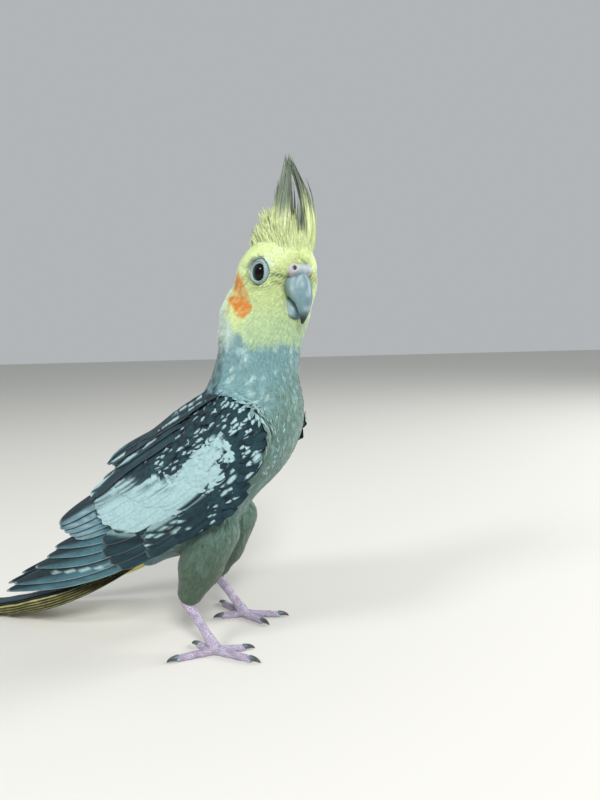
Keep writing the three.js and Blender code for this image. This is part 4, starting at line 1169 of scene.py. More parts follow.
def shoulder_form(side):
    """The body joined to the folded wing, cut off along the line that the breast's feathers cover."""

    def distance(p):
        u, v = wing_uv(p, side)
        out = p[..., 1] * SIDES[side] - np.abs(wing_face(side, u, v)[..., 1]) - COVERT_HEIGHT
        edge = np.maximum(v - curve(WING_TOP_EDGE, u), curve(WING_LOWER_EDGE, u) - v)
        rim = np.maximum(front_line(side, v) - u, edge)
        slab = -blend(-np.maximum(out, -out - SLAB_DEPTH), -rim, SLAB_BLEND)
        return blend(body_distance(p), slab, SHOULDER_BLEND)

    return distance


def shoulder_feathers(side):
    surface = shoulder_form(side)
    draw = np.random.default_rng(SHOULDER_PLACING)
    v = draw.uniform(*SHOULDER_SPAN, SHOULDER_COUNT)
    ahead = draw.uniform(*SHOULDER_AHEAD, SHOULDER_COUNT)
    flat = wing_face(side, front_line(side, v) - ahead, v) * [1, 0, 1]
    out = np.array([0, SIDES[side], 0])
    hit = np.full(SHOULDER_COUNT, -1.0)
    for reach in SHOULDER_LEVELS:
        hit = np.where((surface(flat + out * reach) < 0) & (hit < 0), reach, hit)
    shown = hit > 4
    root, v, ahead = (flat + out * hit[:, None])[shown], v[shown], ahead[shown]
    root = settle(root, 0.0, surface, 4)
    c, s = wing_turn(side)
    way = np.array([-c, 0, -s]) + np.array([s, 0, -c]) * mix(0.9, 0.15, smooth(4, 20, v))[:, None]
    uv = vec(0.05 + 0.9 * (v + 10) / 40, 0.05 + 0.9 * (ahead + 2) / 16)
    pale = draw.uniform(size=len(root)) < 0.22 * smooth(6, 1, ahead)
    grown = smooth(1, 8, ahead)

    def mark_of(p):
        return paint(body_mark(p), pale[:, None] * 0.8, PATCH)

    coat(f"shoulder_coat_{side}", "grey_plumage", root, way, uv, mix(4.2, 6.0, grown), mix(1.0, 1.5, grown),
         SHOULDER_LIFT, SHOULDER_SINK, mark_of, surface, SHOULDER_COAT)


def wing_skin(side):
    """Flesh of the wing under its coverts."""
    share, height = grid(*(np.linspace(0, 1, count) for count in CORE_GRID))
    front = front_line(side, mix(-12.0, 27.0, height)) + 0.5
    u = mix(front, curve(CORE_END, height), share)
    v = mix(curve(WING_LOWER_EDGE, u), curve(WING_TOP_EDGE, u), height)
    across = 2 * height - 1
    deep = CORE_LEAST + curve(CORE_DEPTH, u) * (1 - across**4)
    normal = wing_normal(side, u, v)
    # the flesh takes the coverts' markings darkened: painted shade for what shows between the coverts
    marks = covert_mark(31)(u[None], v[None], share[None], across[None]) * 0.7
    top, under = wing_face(side, u, v) - normal * CORE_SINK, -normal * deep[..., None]
    skin = Vanes()
    skin.add(top[None], under[None], marks, share[None], across[None], np.array([[0.5, 0.5]]), 0.45)
    skin.piece(f"wing_skin_{side}", SKIN, "wing_feathers", (f"wing_{side}",))


def wings():
    for side in SIDES:
        wing_skin(side)
        flights = Vanes()
        flight_feathers(side, flights)
        flights.piece(f"flight_feathers_{side}", VANE, "wing_feathers")
        coverts = Vanes()
        for row in LOWER_ROWS:
            covert_row(side, coverts, *row)
        lesser_coverts(side, coverts)
        for row in UPPER_ROWS:
            covert_row(side, coverts, *row)
        coverts.piece(f"wing_coverts_{side}", VANE, "wing_feathers")
        shoulder_feathers(side)


# Tail: a closed fan that bends to lie on the floor

TAIL_BEND = 122
TAIL_STEPS = 24
TAIL_PAIR_LENGTHS = [76, 90, 104, 118, 132, 160]
TAIL_PAIR_SPREAD = [9.6, 8, 6.6, 5.1, 3.9, 0.5]
TAIL_HALF_WIDTH = {"sides": 3.9, "middle": 4.2}
TAIL_LAYER = 0.83
TAIL_LOWEST = 0.2
TAIL_SETTLING = (0.5, 13)
TAIL_SINK = 6
TAIL_SPREAD_LENGTH = 60
TAIL_BAR_LENGTH = 6.1
TAIL_THICK = 0.32
TAIL_PATCH = (0.03, 0.47)
TAIL_ROWS = 60
TAIL_LIFT = 0.22
TAIL_ARCH = 0.05
OVER_SHORTER = 3
TAIL_COLUMNS = np.array([-1, -0.9, -0.75, -0.4, -0.06, 0, 0.06, 0.4, 0.75, 0.9, 1.0])
MIDDLE_PAIR = len(TAIL_PAIR_LENGTHS) - 1


def tail_slope(length):
    return np.radians(TAIL_SLOPE) * (1 - np.clip(length / TAIL_BEND, 0, 1))


def tail_point(t, y, height):
    x, z = TAIL_ROOT[0] + 0 * t, TAIL_ROOT[1] + 0 * t
    for i in range(TAIL_STEPS):
        angle = tail_slope(t * (i + 0.5) / TAIL_STEPS)
        x = x - np.cos(angle) * t / TAIL_STEPS
        z = z - np.sin(angle) * t / TAIL_STEPS
    return vec(x - np.sin(tail_slope(t)) * height, y, z + np.cos(tail_slope(t)) * height)


TAIL_FLOOR = tail_point(np.array(float(TAIL_BEND)), 0, 0)[2]


def on_tail(t, y, height):
    return tail_point(t, y, height) - [0, 0, TAIL_FLOOR]


def tail_layer(layer, t):
    height = TAIL_LOWEST + 0 * t
    for under in range(layer):
        end = TAIL_PAIR_LENGTHS[min(under, MIDDLE_PAIR)]
        height = height + TAIL_LAYER * (1 - smooth(end + TAIL_SETTLING[0], end + TAIL_SETTLING[1], t))
    return height


def tail_mark(pair, side, t, y, b):
    """Pale yellow with black margins and broken dark bars; the middle pair is slate."""
    wander = ripple(vec(t, y * 2, 0), 1.3, 40 + pair + 7 * (side > 0))
    slow = ripple(vec(t * 0.3, y, 0), 1.5, 60 + pair)
    margin = smooth(0.5, 0.85, np.abs(b) + 0.08 * wander)
    if pair == MIDDLE_PAIR:
        shade = paint(paint(SLATE, smooth(0, 1, wander) * 0.4, TAIL_BAR), margin * 0.6, SLATE_DARK)
    else:
        bars = np.sin(t * 2 * np.pi / TAIL_BAR_LENGTH + wander * 1.5 + side * b * 0.9) + 0.35 * slow
        inner = smooth(-0.6, 0.5, -side * b)
        shade = paint(TAIL_YELLOW, smooth(-0.5, 1, slow) * 0.5, TAIL_PALE)
        shade = paint(shade, smooth(0.35, 0.9, bars) * (0.25 + 0.6 * inner), TAIL_BAR)
        shade = paint(shade, margin * 0.92, SLATE_DARK)
    return paint(shade, smooth(0.07, 0.0, np.abs(b)) * 0.7, SLATE_DARK)


def tail_feather(vanes, pair, side):
    middle = pair == MIDDLE_PAIR
    over = middle and side > 0
    length = TAIL_PAIR_LENGTHS[pair] - OVER_SHORTER * over
    along = np.linspace(0, 1, TAIL_ROWS)
    t = -TAIL_SINK + (length + TAIL_SINK) * along
    y = side * TAIL_PAIR_SPREAD[pair] * (0.35 + 0.65 * np.minimum(t / TAIL_SPREAD_LENGTH, 1))
    widest = TAIL_HALF_WIDTH["middle"] if middle else np.minimum(TAIL_HALF_WIDTH["sides"], np.abs(y) - 0.3)
    half = (widest * pointed_shape(along))[:, None]
    y = y[:, None] + half * TAIL_COLUMNS
    level = tail_layer(pair + over, t)[:, None] + TAIL_LIFT + TAIL_ARCH * half * (1 - TAIL_COLUMNS**2)
    t, b = np.broadcast_to(t[:, None], y.shape), np.broadcast_to(TAIL_COLUMNS, y.shape)
    top = on_tail(t, y, level)
    under = on_tail(t, y, level - TAIL_THICK) - top
    marks = tail_mark(pair, side, t, y, b)
    place = np.array([[0.04 + 0.08 * (pair * 2 + (side > 0)), 0.5]])
    vanes.add(top[None], under[None], marks[None], along[None, :, None], b[None], place, TAIL_PATCH)


def tail():
    vanes = Vanes()
    for pair in range(MIDDLE_PAIR + 1):
        for side in (1, -1):
            tail_feather(vanes, pair, side)
    vanes.piece("tail_feathers", TAIL, "tail_feathers", ("tail",))


TAIL_CORE = [(-14, 0.5), (-11, 0.85), (-2, 1), (10, 0.9), (22, 0.62), (27, 0.3)]
TAIL_CORE_WIDE = 8.4
TAIL_CORE_HIGH = 5
TAIL_CORE_LEVEL = 2.8
TAIL_CORE_GRID = 40
TAIL_CORE_SINK = 0.6
TAIL_COVERT_COUNT = 460
TAIL_COVERT_POINTS = 6
TAIL_COVERT_HALF = 1.7
FIVE_ACROSS = np.array([-1, -0.5, 0, 0.5, 1.0])


def round_tail(angle, swell, lift):
    """Places across and above the tail's line, at an angle round the flesh of its root."""
    y = np.cos(angle) * (TAIL_CORE_WIDE * swell + lift)
    return y, TAIL_CORE_LEVEL + np.sin(angle) * (TAIL_CORE_HIGH * swell + lift)


def tail_coverts():
    """Flesh at the root of the tail, and the small feathers that cover it above and below."""
    t, a = grid(np.linspace(TAIL_CORE[0][0], TAIL_CORE[-1][0], TAIL_CORE_GRID), turns(TAIL_CORE_GRID))
    core = on_tail(t, *round_tail(a, curve(TAIL_CORE, t), -TAIL_CORE_SINK))
    core[..., 2] = np.maximum(core[..., 2], TAIL_LOWEST)
    # the flesh takes the coat's olive darkened further: painted shade for what shows between the feathers
    make_piece("tail_flesh", *loft(core), SKIN, "tail_feathers", (), SHADED_OLIVE * 0.6)
    first, second = quasi_random(TAIL_COVERT_COUNT, 0.17).T[..., None]
    step = np.linspace(0, 1, TAIL_COVERT_POINTS)[None]
    t = -12 + 34 * first + (15 + 5 * first) * step
    width = (TAIL_COVERT_HALF * blade_shape(step))[..., None]
    rise = mix(-0.8, 0.7 + 0.5 * first, step**0.7)[..., None]
    swell = curve(TAIL_CORE, t)[..., None]
    a = (2 * np.pi * second)[..., None] + width / np.maximum(swell * 7.0, 2.5) * FIVE_ACROSS
    y, level = round_tail(a, np.maximum(swell, 0.42), rise + 0.1 * width * (1 - FIVE_ACROSS**2))
    top = on_tail(t[..., None], y, level)
    inner = on_tail(t[..., None], y * 0.99, level - np.sin(a) * 0.15) - top
    shades = paint(TAIL_YELLOW * 0.9, smooth(-0.2, 0.5, np.sin(a)) * 0.8, SLATE)
    vanes = Vanes()
    vanes.add(top, inner, shades, step[..., None], FIVE_ACROSS,
              np.hstack([2 * np.pi * second / 7 + 0.05, 0.1 + 0.8 * first]))
    vanes.piece("tail_coverts", TAIL, "tail_feathers")


# Crest: many narrow loose vanes, tuft by tuft, in the head's frame

CREST_TUFTS = [
    {"base": (9.5, -3.0, 13), "tip": (13.2, -1.0, 45.5), "way": (0.10, -0.12, 1), "end": (0.0, 0.08, 1),
     "spread": (2.0, 1.3, 0.6), "fan": (1.0, 0.6, 6.5), "count": 50, "half": (0.5, 1.1), "grey": 29},
    {"base": (10.5, 4.0, 12), "tip": (11.8, 1.6, 46.5), "way": (0.55, 0.42, 1), "end": (-0.35, -0.3, 1),
     "spread": (1.6, 1.2, 0.6), "fan": (0.9, 0.6, 4.0), "count": 36, "half": (0.4, 0.8), "grey": 31},
    {"base": (12.5, 5.0, 11), "tip": (15.0, 5.4, 33), "way": (0.45, 0.42, 1), "end": (-0.15, -0.15, 1),
     "spread": (1.8, 1.6, 0.8), "fan": (1.4, 1.0, 7.5), "count": 60, "half": (0.35, 0.7), "grey": 30},
    {"base": (6.0, -3.8, 14), "tip": (9.6, -3.0, 34.0), "way": (0.0, -0.2, 1), "end": (0.0, 0.0, 1),
     "spread": (2.4, 2.0, 0.8), "fan": (1.4, 1.0, 7.0), "count": 90, "half": (0.35, 0.8), "grey": 31},
    {"base": (1.5, -3.0, 14.5), "tip": (3.2, -3.2, 27.5), "way": (-0.15, -0.2, 1), "end": (-0.2, 0.0, 1),
     "spread": (2.6, 3.0, 0.8), "fan": (2.0, 1.8, 6.0), "count": 100, "half": (0.35, 0.8), "grey": 30},
    {"base": (-4.0, -2.0, 13.5), "tip": (-6.0, -3.0, 22.0), "way": (-0.35, -0.2, 1), "end": (-0.3, 0.0, 1),
     "spread": (2.6, 3.4, 0.8), "fan": (2.2, 2.6, 3.8), "count": 110, "half": (0.25, 0.6), "grey": 20.5},
    {"base": (8.5, 0.8, 14), "tip": (11.6, 1.4, 37), "way": (0.16, 0.05, 1), "end": (0.0, 0.0, 1),
     "spread": (1.6, 1.0, 0.5), "fan": (1.2, 0.9, 7.0), "count": 26, "half": (0.3, 0.7), "grey": 17},
    {"base": (11.5, 1.5, 13.5), "tip": (15.5, 2.8, 29), "way": (0.3, 0.1, 1), "end": (0.0, 0.0, 1),
     "spread": (1.6, 1.6, 0.5), "fan": (1.2, 1.6, 5.5), "count": 24, "half": (0.25, 0.5), "grey": 20},
]
CREST_LOWEST = 10.5
CREST_HIGHEST = 49.0
TUFT_POINTS = 13
COVER_POINTS = 7
COVER_GREY = 40
COVER_DENSITY = 3.1
COVER_LENGTH = (3.8, 10.5)
COVER_HALF = (0.28, 0.6)
TUFT_SEED, COVER_SEED = 51, 83
STRAND_LIGHT = (0.91, 0.09)
STRAND_THICK = 0.16
CREST_PAD = {"middle": 6.4, "long": 13.6, "wide": 11.0, "lowest": 8.5}


def bezier(knots, t):
    """Points and ways of cubic curves: knots (4, n, 3), t (n, rows)."""
    a, b, c, d = (k[:, None] for k in knots)
    t = t[..., None]
    point = a * (1 - t) ** 3 + 3 * b * t * (1 - t) ** 2 + 3 * c * t**2 * (1 - t) + d * t**3
    way = 3 * (b - a) * (1 - t) ** 2 + 6 * (c - b) * t * (1 - t) + 3 * (d - c) * t**2
    return point, unit(way)


def strands(vanes, base, start, tip, end, length, half, grey_from, draw, rows):
    """Narrow vanes along curves from base to tip, in the head's frame."""
    n = len(base)
    t = np.repeat(np.linspace(0, 1, rows)[None], n, 0)
    middle, way = bezier([base, base + start * length * 0.36, tip - end * length * 0.34, tip], t)
    facing = draw.normal(0, 0.45, (n, 3)) + [0.5, -0.75, 0]
    across = unit(np.cross(facing[:, None], way))
    normal = unit(np.cross(way, across))[:, :, None]
    width = half[:, None] * (0.7 + 0.3 * np.sin(np.minimum(t * 4, np.pi / 2))) * (1 - 0.92 * t**2.2)
    droop = 0.22 * width[..., None] * (1 - THREE_ACROSS**2)
    top = middle[:, :, None] + across[:, :, None] * (width[..., None] * THREE_ACROSS)[..., None]
    top = top + normal * droop[..., None]
    shade = paint(LEMON, draw.uniform(0, 0.8, n)[:, None] + 0 * t, PALE_LEMON)
    grey = smooth(grey_from - 4, grey_from + 4, middle[..., 2] + draw.normal(0, 1.8, n)[:, None])
    dark = draw.uniform(0, 1, n)[:, None, None] ** 3
    shade = paint(shade, grey, mix(CREST_GREY, CREST_DARK, dark))
    marks = np.clip(shade * draw.normal(*STRAND_LIGHT, n)[:, None, None], 0, 1)[:, :, None]
    world = on_head(top.reshape(-1, 3)).reshape(top.shape)
    vanes.add(world, -(normal @ HEAD) * STRAND_THICK, marks, t[..., None], THREE_ACROSS,
              vec((base[:, 0] + 20) / 50, (base[:, 1] + 20) / 40))


def crest_tuft(vanes, tuft, seed):
    draw = np.random.default_rng(seed)
    n = tuft["count"]
    along = draw.uniform(-1, 1, (n, 3))
    base = np.array(tuft["base"]) + along * tuft["spread"]
    base[:, 2] = np.maximum(base[:, 2] - 0.035 * (base[:, 0] - 3) ** 2 - 0.05 * base[:, 1] ** 2, CREST_LOWEST)
    tip = np.array(tuft["tip"]) + (along * [0.75, 0.75, 0] + draw.normal(0, 0.35, (n, 3))) * tuft["fan"]
    tip[:, 2] = np.minimum(tip[:, 2], CREST_HIGHEST)
    length = np.linalg.norm(tip - base, axis=-1)[:, None]
    start = unit(np.array(tuft["way"]) + along * [0, 0.16, 0] + draw.normal(0, 0.06, (n, 3)))
    end = unit(np.array(tuft["end"]) + draw.normal(0, 0.1, (n, 3)))
    half = draw.uniform(*tuft["half"], n)
    strands(vanes, base, start, tip, end, length, half, tuft["grey"], draw, TUFT_POINTS)


def crest_share(p):
    """1 in the middle of the crest's pad, 0 off it."""
    h = in_head(p)
    away = np.hypot((h[..., 0] - CREST_PAD["middle"]) / CREST_PAD["long"], h[..., 1] / CREST_PAD["wide"])
    return smooth(1.0, 0.25, away) * (h[..., 2] > CREST_PAD["lowest"])


def crest_cover(vanes):
    """Strands that rise from all over the pad, short at its rim and longer towards the crest."""
    draw = np.random.default_rng(COVER_SEED)
    root = strew(SURFACE, 1, S_LINE, COVER_DENSITY * (crest_share(SURFACE) > 0.02), 0.53)[0]
    share = crest_share(root)
    normal = slope_of(body_distance, root) @ HEAD.T
    base = in_head(root) - normal * 0.5
    n = len(base)
    upward = np.array([-0.1, 0, 1.0]) + vec(0.02 * (base[:, 0] - 4), 0.045 * base[:, 1], 0)
    upward = unit(upward + draw.normal(0, 0.08, (n, 3)))
    flat_way = upward - normal * np.sum(upward * normal, -1, keepdims=True) * 0.8
    start = unit(flat_way + normal * (0.3 + 0.5 * share[:, None]) - [0.25, 0, 0] * (1 - share[:, None]))
    length = (mix(*COVER_LENGTH, share) * draw.uniform(0.6, 1.25, n))[:, None]
    tip = base + unit(start * 0.9 + upward * 0.7) * length
    half = mix(*COVER_HALF, share) * draw.uniform(0.8, 1.2, n)
    strands(vanes, base, start, tip, upward, length, half, COVER_GREY, draw, COVER_POINTS)


def crest():
    vanes = Vanes()
    for number, tuft in enumerate(CREST_TUFTS):
        crest_tuft(vanes, tuft, TUFT_SEED + number)
    crest_cover(vanes)
    vanes.piece("crest_feathers", CREST, "yellow_plumage", ("crest",))


# Bill: sections by their front and back in the head's side view and their half width

UPPER_BILL = [
    (10, 4.5, 4, -3, 4.4), (16.8, 4.2, 7.5, -3.9, 5), (19.2, 1.2, 10.2, -5.2, 4.8),
    (20.3, -3, 12.3, -6.7, 4.2), (20.1, -7.2, 14, -8.4, 3.4), (18.8, -11, 14.9, -10.9, 2.4),
    (17, -13.9, 15, -13.4, 1.4), (15.6, -15.7, 14.9, -15.4, 0.5),
]
LOWER_BILL = [
    (4, -4, -1, -8, 4), (8.6, -4.2, 3, -9.6, 4.6), (11.9, -6.2, 5.6, -11.8, 4.6), (13.6, -8.8, 8.2, -13.2, 4),
    (14, -10.8, 10.8, -13.7, 3), (13.6, -12.4, 12.2, -13.6, 1.7),
]
BILL_ROWS, BILL_COLUMNS = 70, 56


def bill(name, sections, node_name, tip_from, ridge):
    """One half of the bill; its tip is dark from a level down, and ridge narrows its front to an edge."""
    fx, fz, bx, bz, half = curves(sections, np.linspace(0, len(sections) - 1, BILL_ROWS))
    c, s = np.cos(turns(BILL_COLUMNS)), np.sin(turns(BILL_COLUMNS))
    narrow = np.where(s > 0, np.abs(c) ** (1 + ridge), np.abs(c)) * np.sign(c)
    middle, high = vec((fx + bx) / 2, 0, (fz + bz) / 2), vec((fx - bx) / 2, 0, (fz - bz) / 2)
    local = middle[:, None] + high[:, None] * s[:, None] + vec(0, half, 0)[:, None] * narrow[:, None]
    points, faces = loft(on_head(local.reshape(-1, 3)).reshape(local.shape))
    h = in_head(points)
    # over the bill's own pale blue-grey, the split between pale on the near right side and blue towards the
    # far side and the front is painted light and painted reflection
    mark = paint(BILL_PALE, smooth(-6, 1, h[:, 1] + 0.4 * h[:, 0] - 4), BILL_BLUE)
    mark = paint(mark, smooth(0.2, 1.0, ripple(h * [1.6, 1, 0.8], 0.9, 44)) * 0.3, BILL_LIGHT)
    mark = paint(mark, smooth(tip_from, tip_from - 4, h[:, 2]), BILL_TIP)
    make_piece(name, points, faces, HORN, "horn", (node_name,), mark)


# Cere, eyes and lids

NOSTRIL_PLACE = np.array([17.2, 4, 5.4])
NOSTRIL_RADIUS = 0.95
NOSTRIL_ROLL = 0.45
CERE_MIDDLE = np.array([13.2, 0, 4.7])
CERE_REACH = 12
CERE_ROUNDS = 20
PUPIL_RIM = (2.3, 2.9)
CERE_FORMS = [
    (ellipsoid([13.2, 0, 4.9], (5.0, 4.9, 3.1), np.eye(3)), 1),
    (ellipsoid([14.7, 3.2, 5.0], (3.0, 2.5, 2.6), np.eye(3)), 1.2),
    (ellipsoid([14.7, -3.2, 5.0], (3.0, 2.5, 2.6), np.eye(3)), 1.2),
]
cere_form = union(CERE_FORMS)


def cere_distance(p):
    d = cere_form(p) + 0.10 * ripple(p, 0.55, 33) + 0.05 * ripple(p, 0.22, 34)
    for side in (1, -1):
        gap = np.linalg.norm((p - NOSTRIL_PLACE * [1, side, 1]) / [1.5, 1, 1], axis=-1)
        d = -blend(-d, gap - NOSTRIL_RADIUS, 0.5)
        d = d - 0.22 * smooth(0.75, 0.25, np.abs(gap - NOSTRIL_RADIUS - NOSTRIL_ROLL))
    return d


def cere():
    way = all_ways(80, 110, 0.02)
    points, faces = loft(last_inside(CERE_MIDDLE, way, cere_distance, CERE_REACH, CERE_ROUNDS))
    mark = paint(CERE_GREY, smooth(1.0, 4.5, np.abs(points[:, 1])) * 0.8, CERE_PINK)
    for side in (1, -1):
        near = np.linalg.norm(points - (NOSTRIL_PLACE - [0.2, 0.3, 0]) * [1, side, 1], axis=-1)
        mark = paint(mark, smooth(2.0, 1.3, near) * 0.5, BILL_PALE)
        mark = paint(mark, smooth(1.05, 0.75, near), NOSTRIL)
    make_piece("cere_saddle", on_head(points), faces, BARE, "bare_skin", ("cere",), mark)


def eye(name):
    centre, axes = eye_middle(SIDES[name]), turned(eye_way(SIDES[name]))
    points, faces = loft(centre + all_ways(40, 48, 0.03) * EYE_RADIUS @ axes)
    out = (points - centre) @ axes.T
    mark = paint(PUPIL, smooth(*PUPIL_RIM, np.hypot(out[:, 0], out[:, 1])), IRIS)
    make_piece(f"eye_ball_{name}", points, faces, EYE, "eye", (f"eye_{name}",), mark)


LID_PROFILE = [(3.16, 2.6), (3.1, 2.9), (3.18, 3.16), (3.36, 3.32), (3.54, 3.34), (3.66, 3.22), (3.8, 3.38),
               (3.98, 3.56), (4.16, 3.46), (4.28, 3.26), (4.42, 3.32), (4.6, 3.2), (4.8, 2.7), (5.0, 1.2)]
LID_GROOVES = (3.66, 4.28)
LID_COLUMNS = 100
LID_ROWS = 42
LID_THICK = 0.45
CREASE_DEPTH = 0.05
CREASE_COUNT = 29


def lids(name):
    """Ring of bare skin round the eye: a rolled edge, then folds parted by grooves and fine creases."""
    side = SIDES[name]
    around = turns(LID_COLUMNS)[None]
    run = np.linspace(0, len(LID_PROFILE) - 1, LID_ROWS)
    radius, height = (values[:, None] for values in curves(LID_PROFILE, run))
    outer = smooth(3.1, 4.3, radius)
    crease = np.sin(around * CREASE_COUNT + 2.5 * np.sin(around * 3) + 3 * radius)
    crease = CREASE_DEPTH * crease * smooth(3.2, 3.7, radius)
    wave = 0.08 * np.sin(around * 2 + 0.8) * outer
    wide, high = lid_stretch(np.cos(around), np.sin(around), side)
    wide, high = mix(OPENING_OVAL[0], wide, outer), mix(OPENING_OVAL[1], high, outer)
    front = vec(radius * wide * np.cos(around), radius * high * np.sin(around), height + crease + wave)
    shell = np.concatenate([front, front[::-1] * [0.99, 0.99, 1] - [0, 0, LID_THICK]])
    points = eye_middle(side) + shell.reshape(-1, 3) @ turned(eye_way(side))
    ring = np.arange(LID_COLUMNS)
    following = (ring + 1) % LID_COLUMNS
    last = (len(shell) - 1) * LID_COLUMNS
    faces = np.vstack([grid_faces(len(shell), LID_COLUMNS, closed=True),
                       vec(last + ring, last + following, following), vec(last + ring, following, ring)])
    # painted shade: the grooves, the fine creases and the inner rim by the eye are darkened with slate
    groove_shade = np.maximum(*(smooth(reach, 0.0, np.abs(radius - place))
                          for place, reach in zip(LID_GROOVES, (0.2, 0.22))))
    groove_shade = np.maximum(groove_shade, 0.6 * smooth(0.01, -0.04, crease)) + smooth(3.26, 3.12, radius)
    mark = paint(LID_BLUE, np.concatenate([groove_shade, groove_shade[::-1]]).ravel() * 0.6, SLATE)
    make_piece(f"lid_folds_{name}", points, outward(points, faces), BARE, "bare_skin", (f"eyelid_{name}",),
               mark)


# Legs

TOES = [("inner_front", -24, 12), ("outer_front", 10, 17), ("inner_back", -158, 9), ("outer_back", 146, 15)]
TOE_RADII = [(0, 2.0), (0.35, 1.6), (0.65, 1.5), (1, 1.35)]
SHANK_RADII = [(0, 2.7), (0.33, 1.95), (0.67, 1.85), (1, 2.5)]
CLAW_RADII = [(0, 1.2), (0.5, 0.72), (1, 0.16)]
CLAW_LENGTH = 4.6
KNEE_RADIUS = 10.2
THIGH_FEATHERS = {"length": 7.5, "width": 1.4, "lift": 0.7, "sink": 0.6}
THIGH_SKIN_RADII = [(0, 9.2), (0.5, 7.4), (1, 3.6)]
THIGH_COAT_RADII = [(0, KNEE_RADIUS), (0.5, 8.4), (1, 4.6)]
THIGH_COLUMNS = 48
DOME_STEPS = 8
TUBES = {"shank": (80, 32), "toe": (66, 26), "claw": (20, 16), "thigh": (40, 40)}
SHANK_SCUTES = (13, 0.07)
TOE_SCUTES = (0.85, 0.10)


def tube(path, radii, rows, count, shape=None, ends=1.0):
    """Round bar through points with a radius at each knot of its length, domed at both ends."""
    knots = np.linspace(0, 1, len(path))
    run = np.concatenate([np.zeros(DOME_STEPS), np.linspace(0, 1, rows), np.ones(DOME_STEPS)])
    rise = np.linspace(0, 1, DOME_STEPS + 1)[1:]
    dome = np.concatenate([-rise[::-1], np.zeros(rows), rise])

    def at(x):
        return vec(*curves(path, np.clip(x, 0, 1), knots))

    step = 1e-3
    tangent = unit(at(run + step) - at(run - step))
    up = np.array([0, 0, 1.0]) if abs(tangent[0, 2]) < 0.9 else np.array([1.0, 0, 0])
    wide = unit(np.cross(tangent, up))
    high = np.cross(wide, tangent)
    radius = curve(radii, run)
    middle = at(run) + tangent * (dome * radius * ends)[:, None]
    angle = turns(count)
    grown = (radius * np.sqrt(np.maximum(1 - (np.abs(dome) * 0.985) ** 2, 0)))[:, None]
    if shape is not None:
        grown = grown * shape(run[:, None], angle[None])
    ring = wide[:, None] * np.cos(angle)[:, None] + high[:, None] * np.sin(angle)[:, None]
    return loft(middle[:, None] + ring * grown[..., None])


def scutes(count, depth):
    """Overlapping bands round a toe or shank, deepest on its upper side."""

    def shape(t, angle):
        phase = (t * count + 0.06 * np.cos(angle * 2)) % 1
        upper = 0.45 + 0.55 * smooth(-0.3, 0.6, np.sin(angle))
        return 1 + depth * (1 - smooth(0.72, 1.0, phase) - 0.7) * upper

    return shape


def toe_shape(length):
    bands = scutes(length * TOE_SCUTES[0], TOE_SCUTES[1])
    return lambda t, a: bands(t, a) * (1 + 0.10 * np.cos(t * 2 * np.pi * 3) * smooth(0.2, -0.8, np.sin(a)))


def above_floor(solid, least=0.02):
    """A mesh with none of its points below a height over the floor."""
    points, faces = solid
    points[:, 2] = np.maximum(points[:, 2], least)
    return points, faces


def foot_mark(points, seed):
    return paint(FOOT_LILAC, smooth(-0.2, 1.0, ripple(points, 1.1, seed)) * 0.6, FOOT_SHADE)


def leg(name):
    side = SIDES[name]
    foot, start = FOOT * [1, side, 1], HEEL * [1, side, 1]
    sole = foot + [0, 0, 3.0]
    path = [start, mix(start, sole, 0.35), mix(start, sole, 0.7), sole]
    points, faces = above_floor(tube(path, SHANK_RADII, *TUBES["shank"], scutes(*SHANK_SCUTES)), 0.35)
    make_piece(f"shank_scales_{name}", points, faces, SCALES, "foot_skin", (f"shank_{name}",),
               foot_mark(points, 61))
    whole_points, whole_faces, count = [], [], 0
    for toe_name, turn, length in TOES:
        angle = np.radians(turn) * side
        way = np.array([np.cos(angle), np.sin(angle), 0])
        path = [foot + [0, 0, r - 0.3] + way * d for d, (_, r) in zip(np.linspace(0, length, 4), TOE_RADII)]
        points, faces = above_floor(tube(path, TOE_RADII, *TUBES["toe"], toe_shape(length), 0.8))
        whole_points.append(points)
        whole_faces.append(faces + count)
        count += len(points)
        claw(f"{name}_{toe_name}", foot + way * length, way)
    points = np.vstack(whole_points)
    make_piece(f"foot_scales_{name}", points, np.vstack(whole_faces), SCALES, "foot_skin", (f"foot_{name}",),
               foot_mark(points, 62))


def claw(name, tip, way):
    path = [tip + way * (CLAW_LENGTH * np.sin(v * 1.35) + 0.2) + [0, 0, 1.6 + 0.5 * v - 1.7 * v * v]
            for v in np.linspace(0, 1, 6)]
    points, faces = above_floor(tube(path, CLAW_RADII, *TUBES["claw"], ends=0.5))
    mark = paint(BILL_BLUE * 0.7, smooth(0.0, 0.7, (points - tip) @ way / CLAW_LENGTH), CLAW_DARK)
    make_piece(f"hook_{name}", points, faces, CLAW, "claw", (f"claw_{name}",), mark)


